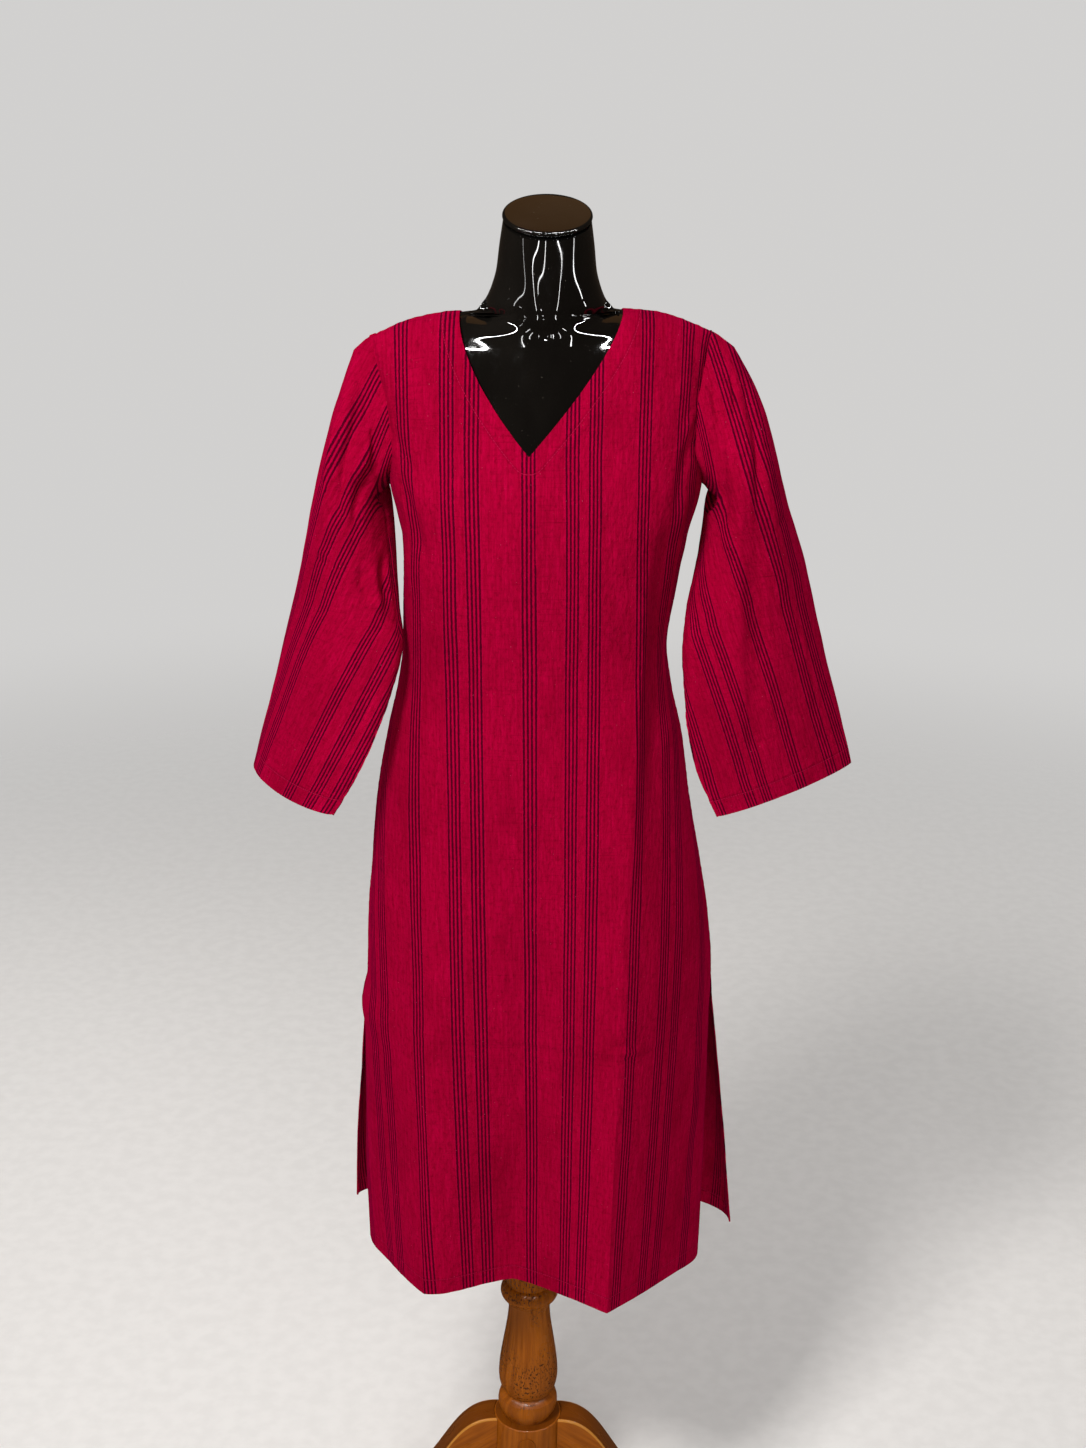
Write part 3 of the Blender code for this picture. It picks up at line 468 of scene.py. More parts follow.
def neck_x(face, side, drop):
    """Where a row ends at the neck line, or None below it."""
    depth = V_DROP if face == "front" else BACK_NECK_DROP
    if drop >= depth:
        return None
    down = drop / depth
    if face == "back":
        edge = sqrt(1 - down ** 2)
        return NECK_RIGHT * edge if side == "right" else -NECK_LEFT * edge
    if side == "right":
        return V_TIP_X + (NECK_RIGHT - V_TIP_X) * (1 - down ** V_BEND_RIGHT)
    return V_TIP_X + (-NECK_LEFT - V_TIP_X) * (1 - down ** V_BEND_LEFT)


def grain_x(drop):
    """Where the straight grain through the V's point passes at one drop."""
    down = max(0.0, (drop - V_DROP) / (HEM_DROP - V_DROP))
    return V_TIP_X + (GRAIN_HEM_X - V_TIP_X) * down


def row_drops(face):
    """Drops of all rows: close together over the shoulder, even below."""
    shoulder = [V_DROP * (i / V_ROWS) ** SHOULDER_POWER for i in range(V_ROWS + 1)]
    if face == "back":
        nearest = min(range(1, V_ROWS), key=lambda i: abs(shoulder[i] - BACK_NECK_DROP))
        shoulder[nearest] = BACK_NECK_DROP
    lower = ARM_ROWS - V_ROWS
    chest = [V_DROP + (UNDERARM_DROP - V_DROP) * i / lower for i in range(1, lower + 1)]
    skirt = [
        UNDERARM_DROP + (HEM_DROP - UNDERARM_DROP) * i / SKIRT_ROWS for i in range(1, SKIRT_ROWS + 1)
    ]
    return shoulder + chest + skirt


def half_row_angles(face, side, drop):
    """Angles of a half row's points, from its inner end outward, with one at the fold."""
    sign = 1 if side == "right" else -1
    inner_x = neck_x(face, side, drop)
    tip = angle_at(V_TIP_X, V_DROP) * (1 - smoothstep((drop - V_DROP) / UNDERARM_DROP))
    if inner_x is not None:
        inner = angle_at(inner_x, drop)
    else:
        inner = tip if face == "front" else 0.0
    outer = sign * pi / 2
    if drop < UNDERARM_DROP:
        row = body_row(drop)
        armhole = row.right if side == "right" else -row.left
        outer = angle_at(armhole * row.inside_armhole, drop)
    fold = max(
        (f for f in FOLDS if f.face == face and f.hem_x * sign > 0 and f.depth > 0),
        key=lambda f: f.depth,
    )
    down = max(0.0, (drop - fold.start) / (HEM_DROP - fold.start))
    even = FOLD_SHARE[face, side]
    mark = round(even * HALF_COLUMNS)
    fold_angle = angle_at(fold.top_x + (fold.hem_x - fold.top_x) * down, drop)
    at_fold = (fold_angle - inner) / (outer - inner)
    follow = smoothstep((drop - UNDERARM_DROP) / (fold.start - UNDERARM_DROP))
    share = even + (at_fold - even) * follow
    shares = np.concatenate(
        [np.linspace(0, share, mark + 1), np.linspace(share, 1, HALF_COLUMNS - mark + 1)[1:]]
    )
    return inner + (outer - inner) * shares, tip if face == "front" else 0.0


class Garment:
    """All cloth as one surface of numbered points, with each piece's net of numbers."""

    def __init__(self):
        self.points = np.zeros((0, 3))
        self.nets = {}

    def add(self, points):
        """Add points and return their numbers."""
        first = len(self.points)
        self.points = np.vstack([self.points, points])
        return np.arange(first, first + len(points))


def panel_nets(garment, face, twin=None):
    """The left and right net of a body panel. twin is the other panel, whose seam points it shares."""
    drops = row_drops(face)
    neck_end = V_DROP if face == "front" else BACK_NECK_DROP
    nets = {}
    for side in ("left", "right"):
        sign = 1 if side == "right" else -1
        slit = SLIT_DROP_RIGHT if side == "right" else SLIT_DROP_LEFT
        rows, across, to_side = [], [], []
        for number, drop in enumerate(drops):
            angles, tip = half_row_angles(face, side, drop)
            points = body_points(face, angles, drop)
            lead = body_points(face, np.linspace(tip, angles[0], LEAD_POINTS), drop)
            start = np.linalg.norm(np.diff(lead, axis=0), axis=1).sum()
            steps = np.linalg.norm(np.diff(points, axis=0), axis=1)
            run = np.concatenate([[0], np.cumsum(steps)])
            across.append(sign * (start + run) + lead[0, 0] - grain_x(drop))
            to_side.append(run[-1] - run)
            ids = garment.add(points)
            if side == "right" and drop >= neck_end:
                ids[0] = nets["left"]["ids"][number][0]
            if twin and number == 0:
                ids = twin[side]["ids"][0].copy()
            elif twin and UNDERARM_DROP <= drop <= slit:
                ids[-1] = twin[side]["ids"][number][-1]
            rows.append(ids)
        ids, u = np.array(rows), np.array(across)
        ease = np.array([getattr(row_at(EASE, drop), side) for drop in drops])
        u = u * ease[:, None]
        v = np.repeat(np.array(drops)[:, None], HALF_COLUMNS + 1, axis=1)
        to_side = np.array(to_side)
        steps = np.linalg.norm(np.diff(garment.points[ids], axis=0), axis=2)
        to_shoulder = np.vstack([np.zeros((1, HALF_COLUMNS + 1)), np.cumsum(steps, axis=0)])
        nets[side] = {
            "ids": ids,
            "u": u,
            "v": v,
            "flip": (face == "front") == (side == "right"),
            "seam": np.minimum(np.where(v <= slit, to_side, FAR), to_shoulder),
            "along_seam": np.where(to_side < to_shoulder, v, u),
            "sewing": panel_sewing(garment, face, ids, u, v, np.where(v > slit, to_side, FAR)),
        }
    return nets


def panel_sewing(garment, face, ids, u, v, to_slit):
    """Distance from the nearest stitched line of a half panel, and the place along it."""
    depth = V_DROP if face == "front" else BACK_NECK_DROP
    drops = np.linspace(0, depth, NECK_POINTS)[:-1]
    edge = []
    for drop in drops:
        for side in ("left", "right"):
            angle = angle_at(neck_x(face, side, drop), drop)
            edge.append(body_points(face, np.array([angle]), drop)[0])
    if face == "front":
        edge.append(body_points(face, np.array([angle_at(V_TIP_X, V_DROP)]), V_DROP)[0])
    edge = np.array(edge)
    rows = int(np.searchsorted(v[:, 0], V_DROP + 2 * FACING))
    near = np.full(ids.shape, FAR)
    grid = garment.points[ids[:rows]]
    gaps = np.linalg.norm(grid[:, :, None, :] - edge[None, None], axis=3)
    near[:rows] = gaps.min(axis=2)
    lines = [
        (near - FACING, v),
        (HEM_DROP - HEM_DEPTH - v, u),
        (to_slit - SLIT_HEM, v),
    ]
    distance, along = lines[0]
    for other, place in lines[1:]:
        closer = np.abs(other) < np.abs(distance)
        distance = np.where(closer, other, distance)
        along = np.where(closer, place, along)
    return np.stack([distance, along], axis=2)


def sleeve_ring(side, place, turns, start):
    """One ring of a sleeve: the armhole's own shape above, a flattened tube below."""
    table = SLEEVES[side]
    sign = 1 if side == "right" else -1
    row = row_at(table, place)
    outer = np.array((sign * row.outer_x, -row.outer_fwd, NECK_Z - row.outer_drop))
    inner = np.array((sign * row.inner_x, -row.inner_fwd, NECK_Z - row.inner_drop))
    middle, across = (outer + inner) / 2, (outer - inner) / 2
    front = np.cross((0, 0, 1), (across[0], across[1], 0))
    front = front / np.linalg.norm(front) * (row.half if front[1] < 0 else -row.half)
    blend = smoothstep((place - table[0].place) / SLEEVE_BLEND + BLEND_START)
    edge = 1 + PRESSED_EDGE * smoothstep((place - PRESSED_FROM) / PRESSED_REACH)
    bulge = np.copysign(np.abs(np.sin(turns)) ** edge, np.sin(turns))
    tube = middle + np.outer(np.cos(turns), across) + np.outer(bulge, front)
    cap = start + (middle - start.mean(axis=0))
    return cap + (tube - cap) * blend


def sleeve_grain(grid):
    """Places round and along a sleeve for its stripes, which run straight down the arm."""
    half = (grid.shape[1] - 1) // 2
    steady = int(STEADY_SHARE * SLEEVE_ROWS)
    centres = grid[:, :-1].mean(axis=1)
    axis = np.gradient(centres, axis=0)
    axis /= np.linalg.norm(axis, axis=1, keepdims=True)
    steps = np.diff(grid, axis=1)
    steps -= np.einsum("rcx,rx->rc", steps, axis)[:, :, None] * axis[:, None]
    run = np.cumsum(np.linalg.norm(steps, axis=2), axis=1)
    around = np.hstack([np.zeros((len(grid), 1)), run])
    to_inner = np.abs(around - around[:, half][:, None])
    moved = np.linalg.norm(np.diff(centres, axis=0), axis=1)
    length = np.concatenate([[0], np.cumsum(moved)])
    along = length[:, None] + np.einsum("rcx,rx->rc", grid - centres[:, None], axis)
    straight = centres[-1] - centres[steady]
    straight /= np.linalg.norm(straight)
    along[:steady] = length[steady] + (grid[:steady] - centres[steady]) @ straight
    inward = grid[steady, half] - grid[steady, 0]
    inward -= straight * (inward @ straight)
    inward /= np.linalg.norm(inward)
    reach = (grid - grid[steady, 0]) @ inward
    for part, turn in ((slice(0, half + 1), 1), (slice(half, None), -1)):
        known_reach, known_run = reach[steady, part][::turn], around[steady, part][::turn]
        for r in range(steady):
            past = reach[r, part] - np.clip(reach[r, part], known_reach[0], known_reach[-1])
            around[r, part] = np.interp(reach[r, part], known_reach, known_run) + turn * past
    return around, along, to_inner


def sleeve_nets(garment, side, front, back):
    """The front and back net of a sleeve, from the armhole to the cuff."""
    front_edge = front[side]["ids"][: ARM_ROWS + 1, -1]
    back_edge = back[side]["ids"][: ARM_ROWS + 1, -1]
    loop = np.concatenate([front_edge, back_edge[-2:0:-1]])
    count = len(loop)
    half = count // 2
    sign = 1 if side == "right" else -1
    start = garment.points[loop]
    turns = 2 * pi * np.arange(count) / count
    first = SLEEVES[side][0].place
    rows = [loop]
    for step in range(1, SLEEVE_ROWS + 1):
        share = step / SLEEVE_ROWS
        if share < FIRST_RING:
            points = start + (sleeve_ring(side, first, turns, start) - start) * share / FIRST_RING
        else:
            down = (share - FIRST_RING) / (1 - FIRST_RING)
            points = sleeve_ring(side, first + (1 - first) * down, turns, start)
        rows.append(garment.add(points))
    ids = np.array(rows)
    ids = np.hstack([ids, ids[:, :1]])
    grid = garment.points[ids]
    around, along, to_inner = sleeve_grain(grid)
    down = np.linalg.norm(np.diff(grid, axis=0), axis=2)
    to_armhole = np.vstack([np.zeros((1, count + 1)), np.cumsum(down, axis=0)])
    to_cuff = to_armhole[-1:] - to_armhole
    ring_turns = np.repeat(np.append(turns, 2 * pi)[None], len(ids), axis=0)
    whole = {
        "ids": ids,
        "u": sign * -around,
        "v": along,
        "turn": ring_turns,
        "share": np.repeat(np.linspace(0, 1, len(ids))[:, None], count + 1, axis=1),
        "seam": np.minimum(to_armhole, to_inner),
        "along_seam": np.where(to_armhole < to_inner, ring_turns * ARM_RADIUS, along),
        "sewing": np.stack([to_cuff - CUFF_DEPTH, around], axis=2),
        "to_cuff": to_cuff,
    }
    steady = int(STEADY_SHARE * SLEEVE_ROWS)
    whole_turn = around[np.maximum(np.arange(len(ids)), steady), -1][:, None]
    nets = []
    for part, offset in ((slice(0, half + 1), 0.0), (slice(half, None), sign * whole_turn)):
        net = {name: values[:, part] for name, values in whole.items()}
        grain = net["u"] + offset + SLEEVE_TWIST[side] * net["v"] - SLEEVE_PHASE[side]
        if side == "right":
            grain = np.where(grain < 0, grain * INNER_EASE, grain)
            grain = np.where(grain > REPEAT, REPEAT + (grain - REPEAT) * OUTER_EASE, grain)
        net["u"] = grain
        net["flip"] = side == "left"
        nets.append(net)
    return nets


def corners_of(grid, flip):
    """The four corner values of each quad of a net, turned outward."""
    quads = np.stack([grid[:-1, :-1], grid[:-1, 1:], grid[1:, 1:], grid[1:, :-1]], axis=2)
    quads = quads.reshape((-1, 4) + grid.shape[2:])
    return quads[:, ::-1] if flip else quads


def surface_normals(points, faces):
    """Outward directions of all points, shared by the pieces that meet there."""
    corners = points[faces]
    cross = np.cross(corners[:, 2] - corners[:, 0], corners[:, 3] - corners[:, 1])
    sums = np.zeros_like(points)
    for corner in range(4):
        np.add.at(sums, faces[:, corner], cross)
    return sums / np.maximum(np.linalg.norm(sums, axis=1, keepdims=True), 1e-12)


def draw_garment():
    """Draw the front, the back and both sleeves as one surface."""
    garment = Garment()
    front = panel_nets(garment, "front")
    back = panel_nets(garment, "back", front)
    garment.nets = {
        "front": [front["left"], front["right"]],
        "back": [back["left"], back["right"]],
        "left_sleeve": sleeve_nets(garment, "left", front, back),
        "right_sleeve": sleeve_nets(garment, "right", front, back),
    }
    nets = [net for piece_nets in garment.nets.values() for net in piece_nets]
    garment.faces = np.vstack([corners_of(net["ids"], net["flip"]) for net in nets])
    return garment


def crease_rise(piece, x, y, x_size=1.0, y_size=1.0):
    """Height that the creases of a piece give. The sizes turn its places into metres."""
    rise = np.zeros_like(x)
    for crease in CREASES[piece]:
        path = [(a * x_size, b * y_size) for a, b in crease.path]
        away, near_end = path_distance(path, x * x_size, y * y_size)
        power = 1 if crease.pressed else 2
        fall = np.exp(-((away / crease.width) ** power))
        rise += crease.height * smoothstep(near_end / CREASE_TAPER) * fall
    return rise


def seam_rise(net):
    """Height near the seams: a groove, with small puckers across it."""
    groove = -SEAM_SINK * np.exp(-((net["seam"] / SEAM_WIDTH) ** 2))
    beat = np.sin(2 * pi * net["along_seam"] / PUCKER_LENGTH)
    beat *= np.sin(2 * pi * net["along_seam"] / (PUCKER_LENGTH * PUCKER_GROUPS) + 1.0)
    return groove + PUCKER_RISE * beat * np.exp(-((net["seam"] / PUCKER_WIDTH) ** 2))


def undulation(points, scale, seed):
    """Soft random waviness of cloth, longer down than across, between -1 and 1."""
    shift = Vector((seed, seed * 2.3, seed * 0.7))
    stretch = np.array((1, 1, WAVE_STRETCH)) / scale
    return np.array([noise.noise(Vector(place) + shift) for place in points * stretch])


def dress_garment(garment):
    """Move the surface out and in by its creases, seams and waves."""
    normals = surface_normals(garment.points, garment.faces)
    rise = np.zeros(len(garment.points))
    count = np.zeros(len(garment.points))
    for piece, nets in garment.nets.items():
        for net in nets:
            ids = net["ids"]
            if "turn" in net:
                turn = np.degrees(net["turn"])
                lift = crease_rise(piece, turn, net["share"], SLEEVE_GIRTH / 360, SLEEVE_LENGTH)
            else:
                lift = crease_rise(piece, garment.points[ids][:, :, 0], net["v"])
            np.add.at(rise, ids.ravel(), (lift + seam_rise(net)).ravel())
            np.add.at(count, ids.ravel(), 1)
    rise /= np.maximum(count, 1)
    for scale, size, seed in WAVES:
        rise += size * undulation(garment.points, scale, seed)
    garment.points = garment.points + normals * rise[:, None]
    garment.normals = surface_normals(garment.points, garment.faces)


def ply(net):
    """Thickness of the cloth over a net: thicker where an edge is turned in."""
    left = net["to_cuff"] - CUFF_DEPTH if "turn" in net else HEM_DROP - HEM_DEPTH - net["v"]
    return CLOTH + HEM_PLY * smoothstep(1 - left / PLY_STEP)


def make_shell(garment, piece, node, finish, axis_x):
    """Build one piece of cloth as a thin closed shell with cloth coordinates."""
    nets = garment.nets[piece]
    used = np.unique(np.concatenate([net["ids"].ravel() for net in nets]))
    number = np.zeros(len(garment.points), int)
    number[used] = np.arange(len(used))
    thickness = np.zeros(len(used))
    faces, layers = [], {"cloth": [], "sewing": []}
    for net in nets:
        grid = number[net["ids"]]
        thickness[grid] = np.maximum(thickness[grid], ply(net))
        sheets = {"cloth": np.stack([net["u"], net["v"]], axis=2), "sewing": net["sewing"]}
        faces.append(corners_of(grid, net["flip"]))
        for name, sheet in sheets.items():
            layers[name].append(corners_of(sheet, net["flip"]))
    faces = np.vstack(faces)
    layers = {name: np.vstack(parts) for name, parts in layers.items()}
    outer_points = garment.points[used]
    inner_points = outer_points - garment.normals[used] * thickness[:, None]
    count = len(used)
    rim = {}
    for f, face in enumerate(faces.tolist()):
        for c in range(4):
            start, end = face[c], face[(c + 1) % 4]
            if rim.pop((end, start), None) is None:
                rim[start, end] = (f, c, (c + 1) % 4)
    rim_faces = [(end, start, start + count, end + count) for start, end in rim]
    all_faces = np.vstack([faces, faces[:, ::-1] + count, np.array(rim_faces)])
    for name, sheet in layers.items():
        edges = [sheet[f][[end, start, start, end]] for f, start, end in rim.values()]
        layers[name] = np.vstack([sheet, sheet[:, ::-1], np.array(edges)])
    points = np.vstack([outer_points, inner_points]) + (axis_x, 0, 0)
    return make_piece(
        piece + "_cloth", node, points.tolist(), all_faces.tolist(), [finish], layers, 50
    )


# The colour sockets of a mix node
MIX_COLORS = (6, 7)
MIX_RESULT = 2


class Nodes:
    """Short calls for building a material's nodes. Each value is a number, colour or output."""

    def __init__(self, name):
        self.made = bpy.data.materials.new(name)
        self.made.use_nodes = True
        self.tree = self.made.node_tree
        self.shader = self.tree.nodes["Principled BSDF"]

    def put(self, value, socket):
        """Give a socket a value, or join an output to it."""
        if isinstance(value, bpy.types.NodeSocket):
            self.tree.links.new(value, socket)
        else:
            socket.default_value = value

    def add(self, kind, inputs=(), **properties):
        """Add a node, with its inputs by name or number and its properties."""
        node = self.tree.nodes.new("ShaderNode" + kind)
        for name, value in properties.items():
            setattr(node, name, value)
        for key, value in dict(inputs).items():
            self.put(value, node.inputs[key])
        return node

    def finish(self, **values):
        """Set the shader's inputs, with underscores for spaces, and return the material."""
        for name, value in values.items():
            self.put(value, self.shader.inputs[name.replace("_", " ")])
        return self.made

    def math(self, operation, *values):
        """A math node."""
        return self.add("Math", enumerate(values), operation=operation).outputs[0]

    def times(self, first, second):
        """Two values multiplied."""
        return self.math("MULTIPLY", first, second)

    def plus(self, first, second):
        """Two values added."""
        return self.math("ADD", first, second)

    def uv(self, name):
        """The coordinates of a layer."""
        return self.add("UVMap", uv_map=name).outputs["UV"]

    def place(self):
        """The coordinates in the object's own frame."""
        return self.add("TexCoord").outputs["Object"]

    def split(self, vector):
        """The first two parts of a vector."""
        node = self.add("SeparateXYZ", {0: vector})
        return node.outputs["X"], node.outputs["Y"]

    def rise(self, value, start, end):
        """0 at start, 1 at end, smooth between."""
        inputs = {"Value": value, "From Min": start, "From Max": end}
        return self.add("MapRange", inputs, interpolation_type="SMOOTHSTEP").outputs["Result"]

    def noise(self, vector, scale, detail=2.0, roughness=0.5):
        """A noise value between 0 and 1, with a scale for each axis."""
        mapped = self.add("Mapping", {"Vector": vector, "Scale": scale}).outputs["Vector"]
        inputs = {"Vector": mapped, "Scale": 1.0, "Detail": detail, "Roughness": roughness}
        return self.add("TexNoise", inputs).outputs["Fac"]

    def mix(self, factor, first, second):
        """A colour mix."""
        inputs = dict(zip((0,) + MIX_COLORS, (factor, first, second)))
        return self.add("Mix", inputs, data_type="RGBA").outputs[MIX_RESULT]

    def tinted(self, color, layers):
        """A colour with tints over it: each is a value, its start and end, its share and colour."""
        for value, start, end, share, tint in layers:
            color = self.mix(self.times(self.rise(value, start, end), share), color, tint)
        return color

    def bump(self, heights):
        """A bump from values and their heights in metres."""
        total = 0.0
        for value, size in heights:
            total = self.plus(total, self.times(value, size))
        return self.add("Bump", {"Distance": 1.0, "Strength": 1.0, "Height": total}).outputs["Normal"]


CLOTH_COLOR = (0.322, 0.0006, 0.0258, 1)
CLOTH_DARK = (0.165, 0.0003, 0.0105, 1)
CLOTH_LIGHT = (0.500, 0.0008, 0.0500, 1)
LINE_COLOR = (0.030, 0.0006, 0.0075, 1)
THREAD_COLOR = (0.480, 0.0120, 0.0700, 1)
SPECK_COLOR = (0.700, 0.1500, 0.2400, 1)
SHEEN_COLOR = (1.0, 0.005, 0.22, 1)
YARN = 0.00075
STITCH = 0.0027
STITCH_HALF_WIDTH = 0.00030
LINE_WANDER = 0.0022
LINE_JITTER = 0.0009
# Whole patterns and stitches added before a modulo, so that its value stays positive
AHEAD = 40


def stripe_lines(nodes, uv, across, places):
    """Where the thin lines run, and the bands of cloth that hold each group of them."""
    wander = nodes.noise(uv, (30.0, 6.0, 1.0))
    jitter = nodes.noise(uv, (500.0, 260.0, 1.0), 1.0)
    shift = nodes.times(nodes.math("SUBTRACT", wander, 0.5), LINE_WANDER)
    shift = nodes.plus(shift, nodes.times(nodes.math("SUBTRACT", jitter, 0.5), LINE_JITTER))
    place = nodes.plus(across, shift)
    breadth = LINE_PITCH * LINES_IN_GROUP / 2
    lines, bands = 0.0, 0.0
    for group in places:
        moved = nodes.plus(place, AHEAD * REPEAT + breadth - group * REPEAT)
        local = nodes.math("SUBTRACT", nodes.math("MODULO", moved, REPEAT), breadth)
        inside = nodes.math("LESS_THAN", nodes.math("ABSOLUTE", local), breadth)
        step = nodes.math("FRACT", nodes.math("DIVIDE", nodes.plus(local, breadth), LINE_PITCH))
        off_middle = nodes.math("ABSOLUTE", nodes.math("SUBTRACT", step, 0.5))
        away = nodes.times(off_middle, LINE_PITCH)
        line = nodes.times(nodes.rise(away, *(LINE_WIDTH * share for share in LINE_FADE)), inside)
        lines = nodes.math("MAXIMUM", lines, line)
        bands = nodes.math("MAXIMUM", bands, inside)
    beat = nodes.noise(uv, (1500.0, 330.0, 1.0), 1.0)
    return nodes.times(lines, nodes.rise(beat, 0.12, 0.40)), bands


def cloth_material(name, places):
    """Hand-woven cotton with groups of thin dark lines along its length."""
    nodes = Nodes(name)
    uv = nodes.uv("cloth")
    across, along = nodes.split(uv)
    lines, bands = stripe_lines(nodes, uv, across, places)
    streak = nodes.noise(uv, (420.0, 26.0, 1.0), 4.0, 0.65)
    slub = nodes.noise(uv, (900.0, 45.0, 1.0))
    weft = nodes.noise(uv, (22.0, 650.0, 1.0), 3.0, 0.6)
    cloud = nodes.noise(uv, (13.0, 7.0, 1.0), 3.0)
    mottle = nodes.noise(uv, (300.0, 150.0, 1.0), 4.0, 0.75)
    speck = nodes.noise(uv, (760.0, 560.0, 1.0), 0.0)
    color = nodes.tinted(CLOTH_COLOR, (
        (streak, 0.42, 0.80, 0.65, CLOTH_LIGHT),
        (streak, 0.50, 0.25, 0.40, CLOTH_DARK),
        (weft, 0.52, 0.78, 0.60, CLOTH_DARK),
        (mottle, 0.46, 0.70, 0.62, CLOTH_DARK),
        (slub, 0.60, 0.80, 0.55, CLOTH_LIGHT),
        (cloud, 0.45, 0.75, 0.45, CLOTH_DARK),
    ))
    color = nodes.mix(nodes.times(bands, 0.30), color, CLOTH_LIGHT)
    color = nodes.mix(nodes.times(lines, 0.90), color, LINE_COLOR)
    color = nodes.tinted(color, [(speck, 0.855, 0.885, 0.50, SPECK_COLOR)])

    off_line, on_line = nodes.split(nodes.uv("sewing"))
    off_line = nodes.math("ABSOLUTE", off_line)
    dash = nodes.math("FRACT", nodes.math("DIVIDE", nodes.plus(on_line, float(AHEAD)), STITCH))
    dash = nodes.times(nodes.rise(dash, 0.04, 0.14), nodes.rise(dash, 0.86, 0.74))
    core = nodes.rise(off_line, STITCH_HALF_WIDTH * 1.5, STITCH_HALF_WIDTH * 0.7)
    thread = nodes.times(dash, core)
    dent_and_shade = nodes.rise(off_line, 0.0030, 0.0002)
    # Painted shade in the stitched lines' dents: the cloth is painted darker along them.
    color = nodes.mix(nodes.times(dent_and_shade, 0.28), color, CLOTH_DARK)
    color = nodes.mix(nodes.times(thread, 0.75), color, THREAD_COLOR)

    warp = nodes.math("SINE", nodes.times(across, 2 * pi / YARN))
    fill = nodes.math("SINE", nodes.times(along, 2 * pi / YARN))
    pull = nodes.noise(uv, (170.0, 170.0, 1.0), 1.0)
    normal = nodes.bump((
        (nodes.noise(uv, (52.0, 24.0, 1.0), 4.0, 0.55), 0.0028),
        (nodes.noise(uv, (210.0, 95.0, 1.0), 3.0, 0.6), 0.0012),
        (mottle, 0.0003),
        (slub, 0.00016),
        (weft, 0.0001),
        (nodes.times(warp, fill), 0.000035),
        (lines, 0.0001),
        (dent_and_shade, -0.00045),
        (thread, 0.00035),
        (nodes.times(nodes.rise(off_line, 0.012, 0.001), pull), 0.001),
    ))
    return nodes.finish(
        Base_Color=color,
        Normal=normal,
        Roughness=nodes.plus(nodes.times(streak, 0.16), 0.70),
        Specular_IOR_Level=0.0,
        Sheen_Weight=0.06,
        Sheen_Roughness=0.45,
        Sheen_Tint=SHEEN_COLOR,
    )


LACQUER = (0.0024, 0.0022, 0.0020, 1)
LACQUER_WORN = (0.0060, 0.0054, 0.0046, 1)
DUST_COLOR = (0.20, 0.18, 0.15, 1)


def form_material():
    """Black lacquer of the dress form: glossy, with faint waves, smears and dust."""
    nodes = Nodes("form_lacquer")
    place = nodes.place()
    cloud = nodes.noise(place, (14.0, 14.0, 5.0), 3.0)
    smear = nodes.noise(place, (60.0, 60.0, 22.0), 4.0, 0.6)
    dust = nodes.noise(place, (700.0, 700.0, 700.0), 0.0)
    color = nodes.mix(nodes.rise(cloud, 0.35, 0.75), LACQUER, LACQUER_WORN)
    return nodes.finish(
        Base_Color=nodes.tinted(color, [(dust, 0.86, 0.90, 0.5, DUST_COLOR)]),
        Roughness=nodes.plus(nodes.times(nodes.rise(smear, 0.50, 0.80), 0.10), 0.035),
        Normal=nodes.bump([(cloud, 0.0006)]),
        Specular_IOR_Level=0.60,
    )


WOOD_LIGHT = (0.360, 0.098, 0.0055, 1)
WOOD_MID = (0.240, 0.060, 0.0030, 1)
WOOD_DARK = (0.110, 0.026, 0.0015, 1)
WOOD_PAINTED_HIGHLIGHT = (0.720, 0.330, 0.0600, 1)
WOOD_PORE = (0.030, 0.010, 0.0030, 1)


def wood_material(name, pores=0.78, shade=0.0, placed=False):
    """Golden-brown varnished wood, with its grain along the second grain coordinate.

    Fewer pores show at a higher value. A shade above 0 darkens it, and one below 0 lightens it towards a
    pale tone, as a painted highlight.
    """
    nodes = Nodes(name)
    uv = nodes.place() if placed else nodes.uv("grain")
    across, along = nodes.split(uv)
    bend = nodes.times(nodes.noise(uv, (9.0, 3.0, 1.0)), 0.020)
    bent = nodes.add("CombineXYZ", {0: nodes.plus(across, bend), 1: along}).outputs[0]
    fibre = nodes.noise(bent, (700.0, 24.0, 1.0), 4.0, 0.65)
    ring = nodes.noise(bent, (150.0, 7.0, 1.0), 3.0)
    stain = nodes.noise(uv, (16.0, 11.0, 1.0), 3.0)
    spread = nodes.noise(uv, (22.0, 15.0, 1.0), 1.0)
    pore = nodes.noise(uv, (520.0, 260.0, 1.0), 1.0)
    color = nodes.mix(nodes.rise(ring, 0.35, 0.68), WOOD_LIGHT, WOOD_MID)
    color = nodes.tinted(color, (
        (fibre, 0.45, 0.72, 0.60, WOOD_DARK),
        (stain, 0.42, 0.75, 0.50, WOOD_MID),
    ))
    # Darker towards dark wood for a shade above 0; paler for one below 0, which is a painted highlight.
    color = nodes.mix(abs(shade), color, WOOD_DARK if shade > 0 else WOOD_PAINTED_HIGHLIGHT)
    pits = nodes.times(nodes.rise(pore, pores, pores + 0.03), nodes.rise(spread, 0.46, 0.60))
    rough = nodes.plus(nodes.times(stain, 0.20), 0.18)
    return nodes.finish(
        Base_Color=nodes.mix(nodes.times(pits, 0.9), color, WOOD_PORE),
        Roughness=nodes.plus(rough, nodes.times(pits, 0.4)),
        Normal=nodes.bump([(fibre, 0.00012), (pits, -0.00030), (ring, 0.00008)]),
        Specular_IOR_Level=0.22,
        Coat_Weight=0.15,
        Coat_Roughness=0.10,
    )


